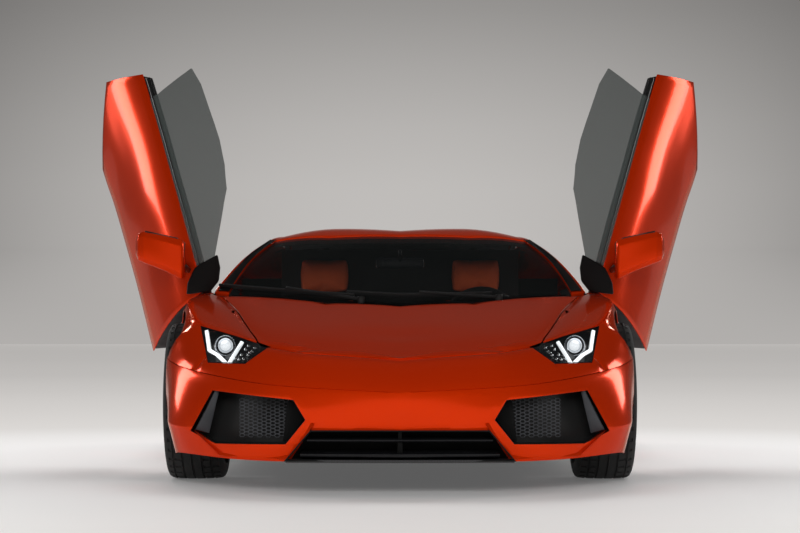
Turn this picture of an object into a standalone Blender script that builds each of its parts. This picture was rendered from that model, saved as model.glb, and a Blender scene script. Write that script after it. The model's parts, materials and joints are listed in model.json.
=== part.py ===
"""A two-seat mid-engined coupe with scissor doors, parked with both doors raised.

Metres. +Z is up, the nose points along -Y, and the car's left is +X. The origin is on the ground, in the
middle of the car's length and width.
"""
import math

import bmesh
import bpy
from mathutils import Matrix, Vector

# Driving dimensions of the whole car
HALF_WIDTH = 1.015
HEIGHT = 1.136
WHEELBASE = 2.700
FRONT_AXLE_Y = -1.300
REAR_AXLE_Y = FRONT_AXLE_Y + WHEELBASE

# Gaps and walls
SHUT_GAP = 0.0115
SEAT_GAP = 0.0004
RUNNING_GAP = 0.0055
OVERRUN = 0.020
SKIN_WALL = 0.022
LID_WALL = 0.024
DOOR_WALL = 0.075
GLASS_WALL = 0.005
BUMPER_WALL = SKIN_WALL
PLATE = 0.022

# Wheels: tyre and rim sizes, and how far the wheels stand inside the body's sides
FRONT_TYRE_RADIUS = 0.3305
FRONT_TYRE_WIDTH = 0.255
REAR_TYRE_RADIUS = 0.3545
REAR_TYRE_WIDTH = 0.335
TYRE_WALL_HEIGHT = 0.0805
FRONT_TYRE_COVER = 0.0275
REAR_TYRE_COVER = 0.020
FRONT_WHEEL_X = HALF_WIDTH - FRONT_TYRE_COVER - FRONT_TYRE_WIDTH / 2
REAR_WHEEL_X = HALF_WIDTH - REAR_TYRE_COVER - REAR_TYRE_WIDTH / 2
ARCH_CLEARANCE = 0.058
ARCH_INNER_X = 0.800
ARCH_SIDES = 38
HUB_RADIUS = 0.062
DISC_RADIUS = 0.185
DISC_THICKNESS = 0.030
CALIPER_WALL = 0.017
STEER_LIMIT_DEG = 30.0
KINGPIN_OFFSET = 0.060
KINGPIN_X = FRONT_WHEEL_X - KINGPIN_OFFSET
KINGPIN_REACH = 0.135
ARM_THICKNESS = 0.020
BALL_RADIUS = 0.022

# The scissor hinge: where it sits, which way its axis points, and how far the door is raised
DOOR_HINGE = Vector((0.845, -0.828, 0.762))
DOOR_AXIS = Vector((0.909, -0.137, -0.394)).normalized()
DOOR_OPEN_DEG = 65.0
DOOR_HINGE_RADIUS = 0.026
DOOR_HINGE_LENGTH = 0.030

# Lid hinges: front_lid at the foot of the screen, engine_lid behind the roof
FRONT_HINGE_Y = -0.830
FRONT_HINGE_Z = 0.745
REAR_HINGE_Y = 0.800
REAR_HINGE_Z = 1.000
LID_HINGE_RADIUS = 0.013
FRONT_HINGE_X = 0.735
REAR_HINGE_X = 0.400
LID_HINGE_LENGTH = 0.014

# Planes of the tub
FLOOR_BOTTOM = 0.128
FLOOR_TOP = 0.165
FLOOR_X = 0.900
SILL_INNER_X = 0.790
SILL_OUTER_X = 0.930
SILL_TOP = 0.222
FRONT_BULKHEAD_Y = -0.905
REAR_BULKHEAD_Y = 0.440
BULKHEAD_X = 0.800
FRONT_BULKHEAD_TOP = 0.640
REAR_BULKHEAD_TOP = 0.900
PILLAR_INNER_X = 0.690
PILLAR_OUTER_X = 0.822
PILLAR_REAR_Y = -0.812
PILLAR_TOP = 0.700
TUNNEL_X = 0.110
TUNNEL_TOP = 0.360
TRAY_X = 0.440
TRAY_FRONT_Y = -1.740
TRAY_BOTTOM = 0.260
TRAY_FRONT_TOP = 0.545
TRAY_REAR_Y = -1.180
TRAY_WALL = 0.020
UNDERTRAY_X = 0.520
UNDERTRAY_FRONT_Y = -2.060
UNDERTRAY_REAR_Y = 1.840
UNDERTRAY_TOP = 0.150
RAIL_INNER_X = 0.345
RAIL_OUTER_X = 0.400
RAIL_TOP = 0.240

# Body lines, nose centre to tail centre, one row a station. Columns of each row: the place along the car as a
# share of the wheelbase behind the front axle, the half width as a share of HALF_WIDTH, and the height as a
# share of HEIGHT. Stations: 0 nose centre, 1 edge of the centre duct, 2 lamp tip, 3 bumper corner, 4 ahead
# of the arch, 5 front axle, 6 behind the arch, 7 door front and cowl, 8 pillar, 9 windscreen header, 10 roof
# crest, 11 door rear, 12 side intake, 13 rear axle, 14 behind the arch, 15 tail corner, 16 exhaust, 17 tail.
LINE_SHARES = {
    "hem": [
        (-0.381, 0.000, 0.110), (-0.374, 0.325, 0.110), (-0.333, 0.611, 0.114), (-0.241, 0.847, 0.125),
        (-0.150, 0.893, 0.110), (0.000, 0.945, 0.115), (0.137, 0.956, 0.123), (0.193, 0.951, 0.114),
        (0.315, 0.946, 0.114), (0.419, 0.946, 0.114), (0.510, 0.951, 0.114), (0.590, 0.961, 0.119),
        (0.740, 0.970, 0.123), (1.000, 0.975, 0.132), (1.167, 0.970, 0.158), (1.290, 0.887, 0.194),
        (1.344, 0.443, 0.211), (1.352, 0.000, 0.211)],
    "sill": [
        (-0.393, 0.000, 0.205), (-0.385, 0.355, 0.220), (-0.341, 0.611, 0.211), (-0.241, 0.877, 0.220),
        (-0.150, 0.925, 0.246), (0.000, 0.980, 0.264), (0.137, 0.970, 0.235), (0.193, 0.961, 0.213),
        (0.315, 0.951, 0.205), (0.419, 0.951, 0.203), (0.500, 0.956, 0.206), (0.580, 0.970, 0.214),
        (0.740, 0.985, 0.264), (1.000, 0.995, 0.282), (1.167, 0.990, 0.290), (1.304, 0.916, 0.299),
        (1.356, 0.453, 0.317), (1.363, 0.000, 0.317)],
    "crease": [
        (-0.404, 0.000, 0.343), (-0.381, 0.384, 0.361), (-0.333, 0.591, 0.379), (-0.230, 0.818, 0.414),
        (-0.133, 0.935, 0.449), (0.000, 0.980, 0.493), (0.137, 0.961, 0.493), (0.189, 0.951, 0.493),
        (0.315, 0.941, 0.493), (0.419, 0.946, 0.502), (0.545, 0.951, 0.511), (0.680, 0.972, 0.528),
        (0.790, 0.985, 0.546), (1.000, 0.997, 0.581), (1.167, 0.985, 0.581), (1.311, 0.916, 0.581),
        (1.363, 0.453, 0.563), (1.367, 0.000, 0.563)],
    "shoulder": [
        (-0.333, 0.000, 0.451), (-0.315, 0.365, 0.471), (-0.270, 0.522, 0.493), (-0.204, 0.670, 0.532),
        (-0.130, 0.803, 0.580), (0.007, 0.872, 0.660), (0.130, 0.872, 0.691), (0.185, 0.867, 0.704),
        (0.315, 0.872, 0.726), (0.419, 0.877, 0.739), (0.520, 0.882, 0.753), (0.620, 0.892, 0.768),
        (0.780, 0.911, 0.792), (1.000, 0.916, 0.805), (1.167, 0.887, 0.792), (1.300, 0.788, 0.766),
        (1.344, 0.414, 0.757), (1.356, 0.000, 0.757)],
    "rail": [
        (-0.333, 0.000, 0.451), (-0.315, 0.365, 0.471), (-0.270, 0.522, 0.493), (-0.204, 0.575, 0.530),
        (-0.119, 0.625, 0.573), (0.007, 0.690, 0.630), (0.130, 0.773, 0.682), (0.185, 0.823, 0.704),
        (0.307, 0.729, 0.841), (0.419, 0.626, 0.933), (0.526, 0.591, 0.960), (0.630, 0.587, 0.952),
        (0.780, 0.591, 0.909), (1.000, 0.611, 0.832), (1.167, 0.631, 0.797), (1.299, 0.650, 0.767)],
    "rib": [
        (-0.333, 0.000, 0.451), (-0.315, 0.365, 0.471), (-0.259, 0.360, 0.506), (-0.204, 0.355, 0.537),
        (-0.126, 0.345, 0.574), (-0.030, 0.330, 0.616), (0.056, 0.315, 0.653), (0.098, 0.305, 0.673),
        (0.262, 0.380, 0.824), (0.415, 0.325, 0.951), (0.526, 0.315, 1.000), (0.640, 0.315, 0.982),
        (0.796, 0.325, 0.911), (1.000, 0.325, 0.845), (1.167, 0.325, 0.805), (1.298, 0.335, 0.769)],
    "spine": [
        (-0.333, 0.000, 0.451), (-0.296, 0.000, 0.475), (-0.241, 0.000, 0.506), (-0.196, 0.000, 0.528),
        (-0.130, 0.000, 0.563), (-0.044, 0.000, 0.603), (0.037, 0.000, 0.641), (0.085, 0.000, 0.662),
        (0.252, 0.000, 0.817), (0.407, 0.000, 0.955), (0.526, 0.000, 0.990), (0.640, 0.000, 0.974),
        (0.796, 0.000, 0.907), (1.000, 0.000, 0.841), (1.167, 0.000, 0.801), (1.296, 0.000, 0.770)],
}
# The screen edge runs between the rail and the rib, at this share of the way from the rail
SCREEN_EDGE_SHARE = 0.13
# Strips between neighbouring lines, hem to spine, and the crown each has at its middle as a share of HALF_WIDTH
STRIPS_WITH_CROWN_SHARES = [
    ("hem", "sill", 0.000),
    ("sill", "crease", 0.008),
    ("crease", "shoulder", 0.014),
    ("shoulder", "rail", 0.006),
    ("rail", "screen", 0.002),
    ("screen", "rib", 0.008),
    ("rib", "spine", 0.004),
    ("rail", "rib", 0.009),
    ("shoulder", "spine", 0.000),
]
HEM, SIDE, FLANK, WINDOW, PILLAR, OUTER_TOP, INNER_TOP, BONNET_SIDE, TAIL_TOP = range(
    len(STRIPS_WITH_CROWN_SHARES))
SIDE_STRIPS = (HEM, SIDE, FLANK)
TOP_STRIPS = (WINDOW, PILLAR, OUTER_TOP, INNER_TOP, BONNET_SIDE)
TAIL_STATION = 15
LAST_STATION = 17
# The bonnet's lines run together at the nose, and are straight as far as this station
TOP_LINES = ("shoulder", "rail", "rib", "spine")
STRAIGHT_STATIONS = 2
STEPS_PER_STATION = 2
ROWS_PER_STRIP = 2

COLOURS = {
    "paint": ((0.78, 0.09, 0.01, 1), 0.25, 0.3),
    "black": ((0.015, 0.015, 0.017, 1), 0.45, 0.0),
    "carbon": ((0.03, 0.03, 0.033, 1), 0.4, 0.2),
    "glass": ((0.09, 0.11, 0.11, 1), 0.05, 0.0),
    "tyre": ((0.02, 0.02, 0.02, 1), 0.8, 0.0),
    "rim": ((0.10, 0.10, 0.11, 1), 0.3, 0.9),
    "steel": ((0.45, 0.45, 0.46, 1), 0.35, 1.0),
    "leather": ((0.45, 0.08, 0.02, 1), 0.6, 0.0),
    "lamp": ((0.75, 0.78, 0.8, 1), 0.1, 0.2),
    "tail": ((0.5, 0.01, 0.01, 1), 0.2, 0.0),
}


def clear_scene():
    for old in list(bpy.data.objects):
        bpy.data.objects.remove(old)


def collection(name):
    made = bpy.data.collections.new(name)
    bpy.context.scene.collection.children.link(made)
    return made


def material(name):
    found = bpy.data.materials.get(name)
    if found:
        return found
    colour, roughness, metallic = COLOURS[name]
    made = bpy.data.materials.new(name)
    made.use_nodes = True
    shader = made.node_tree.nodes["Principled BSDF"]
    shader.inputs["Base Color"].default_value = colour
    shader.inputs["Roughness"].default_value = roughness
    shader.inputs["Metallic"].default_value = metallic
    return made


def add_mesh(name, bm, finish, folder):
    mesh = bpy.data.meshes.new(name)
    bm.to_mesh(mesh)
    bm.free()
    made = bpy.data.objects.new(name, mesh)
    folder.objects.link(made)
    if finish:
        mesh.materials.append(material(finish))
    return made


def add_cutter(name, bm):
    made = add_mesh(name, bm, None, CUTTERS)
    made.hide_render = True
    made.display_type = "WIRE"
    return made


def boolean(target, cutter, operation="DIFFERENCE"):
    step = target.modifiers.new(operation.lower(), "BOOLEAN")
    step.operation = operation
    step.object = cutter
    return step


def mirrored(bm):
    """Turns a left-hand mesh into the right-hand one."""
    bmesh.ops.scale(bm, vec=(-1, 1, 1), verts=bm.verts)
    bmesh.ops.reverse_faces(bm, faces=bm.faces)
    return bm


# Solids from primitives and outlines
def box_mesh(low, high, bm=None):
    bm = bm or bmesh.new()
    low, high = Vector(low), Vector(high)
    place = Matrix.Translation((low + high) / 2) @ Matrix.Diagonal((*(high - low), 1))
    bmesh.ops.create_cube(bm, size=1, matrix=place)
    return bm


def cylinder_mesh(start, end, radius, sides=24, end_radius=None, bm=None):
    bm = bm or bmesh.new()
    start, end = Vector(start), Vector(end)
    along = end - start
    turn = along.to_track_quat("Z", "Y").to_matrix().to_4x4()
    bmesh.ops.create_cone(
        bm, cap_ends=True, segments=sides, radius1=radius,
        radius2=radius if end_radius is None else end_radius, depth=along.length,
        matrix=Matrix.Translation((start + end) / 2) @ turn)
    return bm


def beam_mesh(start, end, width, height, side=None):
    """A rectangular bar between two points, its height upwards unless its side is given."""
    bm = bmesh.new()
    start, end = Vector(start), Vector(end)
    along = end - start
    side = side or along.cross(Vector((0, 0, 1))).normalized()
    up = side.cross(along).normalized()
    turn = Matrix((along.normalized(), side, up)).transposed().to_4x4()
    size = Matrix.Diagonal((along.length, width, height, 1))
    bmesh.ops.create_cube(bm, size=1, matrix=Matrix.Translation((start + end) / 2) @ turn @ size)
    return bm


def prism_mesh(outline, axis, low, high):
    """An outline in the plane across axis (0 x, 1 y, 2 z) pushed from low to high along it."""
    bm = bmesh.new()

    def placed(point, along):
        values = list(point)
        values.insert(axis, along)
        return bm.verts.new(values)

    near = bm.faces.new([placed(p, low) for p in outline])
    made = bmesh.ops.extrude_face_region(bm, geom=[near])
    moved = [v for v in made["geom"] if isinstance(v, bmesh.types.BMVert)]
    push = Vector((0, 0, 0))
    push[axis] = high - low
    bmesh.ops.translate(bm, verts=moved, vec=push)
    bmesh.ops.recalc_face_normals(bm, faces=bm.faces)
    return bm


def turned_mesh(profile, steps, closed=True):
    """Spins a closed profile of (radius, x) about the X axis."""
    bm = bmesh.new()
    rings = []
    for i in range(steps):
        angle = 2 * math.pi * i / steps
        rings.append([
            bm.verts.new((x, radius * math.cos(angle), radius * math.sin(angle))) for radius, x in profile])
    count = len(profile)
    for i in range(steps):
        near, far = rings[i], rings[(i + 1) % steps]
        for j in range(count if closed else count - 1):
            k = (j + 1) % count
            bm.faces.new((near[j], near[k], far[k], far[j]))
    bmesh.ops.recalc_face_normals(bm, faces=bm.faces)
    return bm


def union(base, *others):
    """Joins solids that overlap into one, each given as a bmesh."""
    return union_all(base, others, 1)


def union_all(base, others, sign, hinge=None):
    """The same for solids modelled on the left, which sign -1 mirrors, and which may hang on a hinge."""
    for other in others:
        cutter = add_cutter(f"{base.name}_joined_{len(base.modifiers)}", mirrored(other) if sign < 0 else other)
        cutter.location = base.location
        if hinge:
            hang(cutter, hinge)
        boolean(base, cutter, "UNION")
    return base


# The styled skin
def line_point(line, u):
    """A point on a body line at station u, on a smooth curve through the stations."""
    if line == "screen":
        return line_point("rail", u).lerp(line_point("rib", u), SCREEN_EDGE_SHARE)
    rows = LINE_SHARES[line]
    last = len(rows) - 1
    u = min(u, last)
    i = min(int(u), last - 1)
    t = u - i

    def placed(k):
        along, across, up = rows[max(0, min(last, k))]
        return Vector((across * HALF_WIDTH, FRONT_AXLE_Y + along * WHEELBASE, up * HEIGHT))

    before, start, end, after = (placed(k) for k in (i - 1, i, i + 1, i + 2))
    if i < STRAIGHT_STATIONS and line in TOP_LINES:
        return start.lerp(end, t)
    if i == 0:
        before = start * 2 - end
    if i == last - 1:
        after = end * 2 - start
    if t == 0:
        return start
    return 0.5 * (
        2 * start + (end - before) * t + (2 * before - 5 * start + 4 * end - after) * t ** 2
        + (3 * start - before - 3 * end + after) * t ** 3)


def skin_point(strip, row, u):
    """A point of the skin, row out of ROWS_PER_STRIP up the strip at station u."""
    low_line, high_line, crown_share = STRIPS_WITH_CROWN_SHARES[strip]
    crown = crown_share * HALF_WIDTH
    low, high = line_point(low_line, u), line_point(high_line, u)
    share = row / ROWS_PER_STRIP
    flat = low.lerp(high, share)
    if row in (0, ROWS_PER_STRIP) or (high - low).length < crown * 8:
        return flat
    step = 0.05
    ahead = line_point(low_line, min(u + step, LAST_STATION)) - line_point(low_line, max(u - step, 0))
    out = (high - low).cross(ahead)
    if out.length < 1e-9:
        return flat
    raised = flat - out.normalized() * crown * 4 * share * (1 - share)
    if abs(flat.x) < 1e-9:
        raised.x = 0
    return raised


def key_of(point):
    return tuple(round(c, 5) for c in point)


def skin_faces(strip, start, end):
    """The faces of one strip between two stations, as loops of points, outward on the left side."""
    found = []
    first, last = round(start * STEPS_PER_STATION), round(end * STEPS_PER_STATION)
    for i in range(first, last):
        for row in range(ROWS_PER_STRIP):
            u, v = i / STEPS_PER_STATION, (i + 1) / STEPS_PER_STATION
            corners = [
                skin_point(strip, row, u), skin_point(strip, row, v),
                skin_point(strip, row + 1, v), skin_point(strip, row + 1, u)]
            loop = []
            for corner in corners:
                if not any((corner - other).length < 1e-5 for other in loop):
                    loop.append(corner)
            if len(loop) > 2:
                found.append(loop)
    return found


def skin_normals():
    """The outward direction at every point of the whole skin, averaged over the faces round it."""
    total = {}
    whole = [(strip, 0, LAST_STATION) for strip in SIDE_STRIPS]
    whole += [(strip, 0, TAIL_STATION) for strip in TOP_STRIPS]
    whole.append((TAIL_TOP, TAIL_STATION, LAST_STATION))
    for cell in whole:
        for loop in skin_faces(*cell):
            normal = Vector((0, 0, 0))
            for k in range(1, len(loop) - 1):
                normal += (loop[k] - loop[0]).cross(loop[k + 1] - loop[0])
            for corner in loop:
                key = key_of(corner)
                total[key] = total.get(key, Vector((0, 0, 0))) + normal.normalized()
    for key, normal in total.items():
        if abs(key[0]) < 1e-5:
            normal.x = 0
        normal.normalize()
    return total


def panel_mesh(cells, wall, inset=SEAT_GAP / 2, sink=0.0, centred=False):
    """A thick panel from parts of the skin's strips.

    cells holds (strip, first station, last station). The edge stands back by inset, the face is sunk by
    sink, and a centred panel meets its mirror image at x = 0.
    """
    bm = bmesh.new()
    verts = {}

    def vertex(point):
        key = key_of(point)
        if key not in verts:
            verts[key] = bm.verts.new(point)
        return verts[key]

    for strip, start, end in cells:
        for loop in skin_faces(strip, start, end):
            bm.faces.new([vertex(p) for p in loop])
    bm.normal_update()
    inward = {vert: NORMALS[key] * -1 for key, vert in verts.items()}
    moves = {}
    for vert in bm.verts:
        edges = [e for e in vert.link_edges if e.is_boundary and not on_plane(e, centred)]
        if not edges:
            continue
        pulls = []
        for edge in edges:
            face = edge.link_faces[0]
            across = (edge.verts[1].co - edge.verts[0].co).cross(face.normal).normalized()
            if across.dot(face.calc_center_median() - edge.verts[0].co) < 0:
                across.negate()
            pulls.append(across)
        if len(pulls) > 1:
            move = (pulls[0] + pulls[1]) * inset / max(0.4, 1 + pulls[0].dot(pulls[1]))
        else:
            move = pulls[0] * inset
        if centred and abs(vert.co.x) < 1e-6:
            move.x = 0
        moves[vert] = move
    for vert, move in moves.items():
        vert.co += move
    outer = list(bm.faces)
    rim = [e for e in bm.edges if e.is_boundary and not on_plane(e, centred)]
    inner = {v: bm.verts.new(v.co + inward[v] * (sink + wall)) for v in inward}
    for face in outer:
        bm.faces.new([inner[v] for v in reversed(face.verts)])
    for edge in rim:
        face = edge.link_faces[0]
        a, b = edge.verts
        loops = [loop.vert for loop in face.loops]
        if loops[(loops.index(a) + 1) % len(loops)] != b:
            a, b = b, a
        bm.faces.new((b, a, inner[a], inner[b]))
    for vert, away in inward.items():
        vert.co += away * sink
    if centred:
        bmesh.ops.mirror(bm, geom=bm.verts[:] + bm.edges[:] + bm.faces[:], axis="X", merge_dist=1e-5)
        bmesh.ops.remove_doubles(bm, verts=bm.verts, dist=1e-5)
    bmesh.ops.triangulate(bm, faces=bm.faces)
    bmesh.ops.recalc_face_normals(bm, faces=bm.faces)
    return bm


def on_plane(edge, centred):
    return centred and all(abs(v.co.x) < 1e-6 for v in edge.verts)


def hinge_empty(side):
    sign = 1 if side == "left" else -1
    made = bpy.data.objects.new(f"door_hinge_{side}", None)
    BODY.objects.link(made)
    made.location = (sign * DOOR_HINGE.x, DOOR_HINGE.y, DOOR_HINGE.z)
    axis = Vector((DOOR_AXIS.x, sign * DOOR_AXIS.y, sign * DOOR_AXIS.z))
    made.rotation_mode = "QUATERNION"
    made.rotation_quaternion = Matrix.Rotation(math.radians(DOOR_OPEN_DEG), 3, axis).to_quaternion()
    return made


def sided(name, side, bm, finish):
    """Adds a piece modelled on the left, mirrored for the right."""
    if side == "right":
        mirrored(bm)
    return add_mesh(f"{name}_{side}", bm, finish, BODY)


def arch_cutter(axle_y, radius, side):
    sign = 1 if side == "left" else -1
    low = Vector((sign * ARCH_INNER_X, axle_y, radius))
    high = Vector((sign * (HALF_WIDTH + OVERRUN), axle_y, radius))
    return cylinder_mesh(low, high, radius + ARCH_CLEARANCE, ARCH_SIDES)


# Body panels
LAMP_OUTLINE_SHARES = [(0.505, 0.492), (0.590, 0.435), (0.745, 0.438), (0.800, 0.568), (0.640, 0.530)]
INTAKE_OUTLINE_SHARES = [
    (0.350, 0.252), (0.425, 0.170), (0.700, 0.166), (0.805, 0.205), (0.716, 0.345), (0.395, 0.318)]
DUCT_OUTLINE_SHARES = [(-0.330, 0.215), (-0.420, 0.120), (0.420, 0.120), (0.330, 0.215)]
TAIL_OUTLINE_SHARES = [(0.430, 0.635), (0.830, 0.615), (0.870, 0.665), (0.430, 0.690)]
PLATE_OUTLINE_SHARES = [(-0.400, 0.250), (0.400, 0.250), (0.450, 0.560), (-0.450, 0.560)]
FRONT_REACH = (-2.60, -1.60)
REAR_REACH = (1.90, 2.80)
MOVING_INSET = SHUT_GAP - SEAT_GAP / 2
HOOD_END = 6.5
DECK_START = 11.5
SCREEN_SINK = 0.004


def outline(shares, sign=1):
    return [(sign * x * HALF_WIDTH, z * HEIGHT) for x, z in shares]


def along_up(shares):
    """Points of a side view, from shares of the wheelbase behind the front axle and of the height."""
    return [(FRONT_AXLE_Y + along * WHEELBASE, up * HEIGHT) for along, up in shares]


def grown(points, margin):
    """An outline pushed outwards by margin at each corner, or inwards if margin is negative."""
    turn = sum(a[0] * b[1] - b[0] * a[1] for a, b in zip(points, points[1:] + points[:1]))
    result = []
    for before, here, after in zip(points[-1:] + points[:-1], points, points[1:] + points[:1]):
        sides = []
        for a, b in ((before, here), (here, after)):
            along = (Vector(b) - Vector(a)).normalized()
            sides.append(Vector((along.y, -along.x)) * math.copysign(1, turn))
        push = (sides[0] + sides[1]) / (1 + sides[0].dot(sides[1]))
        result.append(tuple(Vector(here) + push * margin))
    return result


def cut_arches(made, axle_y, radius, sides=("left", "right")):
    for side in sides:
        boolean(made, add_cutter(f"{made.name}_arch_{side}", arch_cutter(axle_y, radius, side)))


def cut_prism(made, name, points, reach):
    boolean(made, add_cutter(f"{made.name}_{name}", prism_mesh(points, 1, *reach)))


def make_front_bumper():
    cells = [(HEM, 0, 5), (SIDE, 0, 5), (FLANK, 0, 3.5)]
    made = add_mesh("front_bumper", panel_mesh(cells, BUMPER_WALL, centred=True), "paint", BODY)
    for side, sign in SIDES:
        cut_prism(made, f"intake_{side}", outline(INTAKE_OUTLINE_SHARES, sign), FRONT_REACH)
        cut_prism(made, f"lamp_{side}", outline(LAMP_OUTLINE_SHARES, sign), FRONT_REACH)
    cut_prism(made, "duct", outline(DUCT_OUTLINE_SHARES), FRONT_REACH)
    cut_arches(made, FRONT_AXLE_Y, FRONT_TYRE_RADIUS)


def make_front_grille():
    cells = [(HEM, 0, 3), (SIDE, 0, 3)]
    liner = panel_mesh(cells, PLATE / 2, sink=BUMPER_WALL + SEAT_GAP, centred=True)
    made = add_mesh("front_grille", liner, "black", BODY)
    cut_arches(made, FRONT_AXLE_Y, FRONT_TYRE_RADIUS)


FENDER_FOOT_BOTTOM = 0.300
FENDER_FOOT_HEIGHT = 0.040


def make_fenders():
    cells = [(HEM, 5, 7), (SIDE, 5, 7), (FLANK, 3.5, 7), (WINDOW, 2.5, 7)]
    for side, sign in SIDES:
        made = sided("front_fender", side, panel_mesh(cells, SKIN_WALL), "paint")
        foot = box_mesh(
            (PILLAR_OUTER_X + SEAT_GAP, FRONT_BULKHEAD_Y + SEAT_GAP, FENDER_FOOT_BOTTOM),
            (line_point("crease", 7).x - SKIN_WALL / 5, PILLAR_REAR_Y, FENDER_FOOT_BOTTOM + FENDER_FOOT_HEIGHT))
        union(made, mirrored(foot) if sign < 0 else foot)
        cut_prism(made, "lamp", outline(LAMP_OUTLINE_SHARES, sign), FRONT_REACH)
        cut_arches(made, FRONT_AXLE_Y, FRONT_TYRE_RADIUS, (side,))
        for name, bm in (("hinge_slot", hinge_slot()), ("notch", door_notch())):
            boolean(made, add_cutter(f"{made.name}_{name}", mirrored(bm) if sign < 0 else bm))


def hinge_slot():
    """The way through the fender's top for the door's hinge disc and for its arm as it swings up."""
    radius = DOOR_HINGE_RADIUS + RUNNING_GAP * 1.5
    return box_mesh(
        (DOOR_HINGE.x - DOOR_HINGE_LENGTH - RUNNING_GAP * 2, DOOR_HINGE.y - radius, DOOR_HINGE.z - radius),
        (DOOR_HINGE.x + DOOR_HINGE_LENGTH + RUNNING_GAP * 4, DOOR_HINGE.y + DOOR_ARM_LENGTH, HEIGHT))


def door_notch():
    """The room behind the fender's upper corner that the raised door's front edge needs."""
    edge = line_point("shoulder", 7)
    return box_mesh(
        (DOOR_HINGE.x, edge.y - OVERRUN * 1.6, edge.z - OVERRUN * 5),
        (HALF_WIDTH + OVERRUN, edge.y + DOOR_ARM_LENGTH * 1.1, HEIGHT + OVERRUN))


def make_lamps():
    front_cells = [(FLANK, 1, 4.5), (WINDOW, 2, 4.5)]
    rear_cells = [(FLANK, TAIL_STATION, LAST_STATION), (SIDE, TAIL_STATION, LAST_STATION)]
    for side, sign in SIDES:
        for name, cells, shape, reach, finish in (
                ("headlamp", front_cells, LAMP_OUTLINE_SHARES, FRONT_REACH, "lamp"),
                ("tail_lamp", rear_cells, TAIL_OUTLINE_SHARES, REAR_REACH, "tail")):
            made = sided(name, side, panel_mesh(cells, BUMPER_WALL), finish)
            window = prism_mesh(grown(outline(shape, sign), -SEAT_GAP), 1, *reach)
            boolean(made, add_cutter(f"{name}_{side}_shape", window), "INTERSECT")


def make_lids():
    hood = [(BONNET_SIDE, 0, HOOD_END), (INNER_TOP, 0, HOOD_END)]
    made = add_mesh("front_lid", panel_mesh(hood, LID_WALL, MOVING_INSET, centred=True), "paint", BODY)
    for side, sign in SIDES:
        cut_prism(made, f"lamp_{side}", grown(outline(LAMP_OUTLINE_SHARES, sign), SHUT_GAP), FRONT_REACH)
    add_lid_arms(made, FRONT_HINGE_X, FRONT_HINGE_Y, FRONT_HINGE_Z, -FRONT_ARM_LENGTH)
    deck = [(OUTER_TOP, DECK_START, 15), (INNER_TOP, DECK_START, 15)]
    made = add_mesh("engine_lid", panel_mesh(deck, LID_WALL, MOVING_INSET, centred=True), "black", BODY)
    add_lid_arms(made, REAR_HINGE_X, REAR_HINGE_Y, REAR_HINGE_Z, 0)


FRONT_ARM_LENGTH = 0.110
ARM_RISE = 0.020


def add_lid_arms(lid, hinge_x, hinge_y, hinge_z, length):
    """The lid's half of both its hinges: a disc on the axis, and an arm to the lid's underside."""
    for side, sign in SIDES:
        low_x, high_x = hinge_x, hinge_x + LID_HINGE_LENGTH
        low = Vector((low_x, hinge_y, hinge_z))
        high = Vector((high_x, hinge_y, hinge_z))
        disc = cylinder_mesh(low, high, LID_HINGE_RADIUS, 16)
        middle = (low + high) / 2
        reach = middle + Vector((0, length, ARM_RISE))
        if length:
            arm = beam_mesh(middle, reach, LID_HINGE_LENGTH * 0.9, LID_HINGE_RADIUS)
        else:
            arm = box_mesh(
                low + Vector((SEAT_GAP, -LID_HINGE_RADIUS / 2, 0)),
                high + Vector((-SEAT_GAP, LID_HINGE_RADIUS / 2, ARM_RISE * 2)))
        for part in (disc, arm):
            if sign < 0:
                mirrored(part)
        boolean(lid, add_cutter(f"{lid.name}_disc_{side}", disc), "UNION")
        boolean(lid, add_cutter(f"{lid.name}_arm_{side}", arm), "UNION")


def make_roof():
    cells = [(PILLAR, 7, DECK_START), (OUTER_TOP, 9, DECK_START), (INNER_TOP, 9, DECK_START)]
    add_mesh("roof", panel_mesh(cells, LID_WALL, centred=True), "paint", BODY)
    screen = [(OUTER_TOP, 7, 9), (INNER_TOP, 7, 9)]
    add_mesh("windscreen", panel_mesh(screen, GLASS_WALL, sink=SCREEN_SINK, centred=True), "glass", BODY)


SIDE_INTAKE_SHARES = [(0.600, 0.440), (0.700, 0.540), (0.690, 0.680), (0.640, 0.790), (0.560, 0.790)]
WINDOW_OUTLINE_SHARES = [
    (0.211, 0.528), (0.619, 0.528), (0.615, 0.770), (0.596, 0.880), (0.419, 0.946), (0.211, 1.056)]
SILL_FLANGE = (-0.600, 0.380)
FLANGE_BOTTOM = 0.150


def make_quarters():
    cells = [(HEM, 7, 15), (SIDE, 11, 15), (FLANK, 11, 15), (WINDOW, 9, 15), (PILLAR, DECK_START, 15)]
    for side, sign in SIDES:
        made = sided("rear_quarter", side, panel_mesh(cells, SKIN_WALL), "paint")
        flange = box_mesh(
            (SILL_OUTER_X + SEAT_GAP, SILL_FLANGE[0], FLANGE_BOTTOM),
            (line_point("hem", 9).x - SKIN_WALL / 2, SILL_FLANGE[1], FLANGE_BOTTOM + PLATE))
        union(made, mirrored(flange) if sign < 0 else flange)
        cut_arches(made, REAR_AXLE_Y, REAR_TYRE_RADIUS, (side,))
        mouth = prism_mesh(along_up(SIDE_INTAKE_SHARES), 0, HALF_WIDTH * 0.8, HALF_WIDTH * 1.2)
        window = prism_mesh(along_up(WINDOW_OUTLINE_SHARES), 0, 0, HALF_WIDTH)
        edge = line_point("shoulder", TAIL_STATION)
        tail = box_mesh(
            (edge.x * 0.6, edge.y - OVERRUN / 2, edge.z - PLATE * 2), (edge.x, edge.y + OVERRUN, edge.z + OVERRUN))
        for name, bm in (("mouth", mouth), ("window", window), ("tail", tail)):
            boolean(made, add_cutter(f"{made.name}_{name}", mirrored(bm) if sign < 0 else bm))


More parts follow.
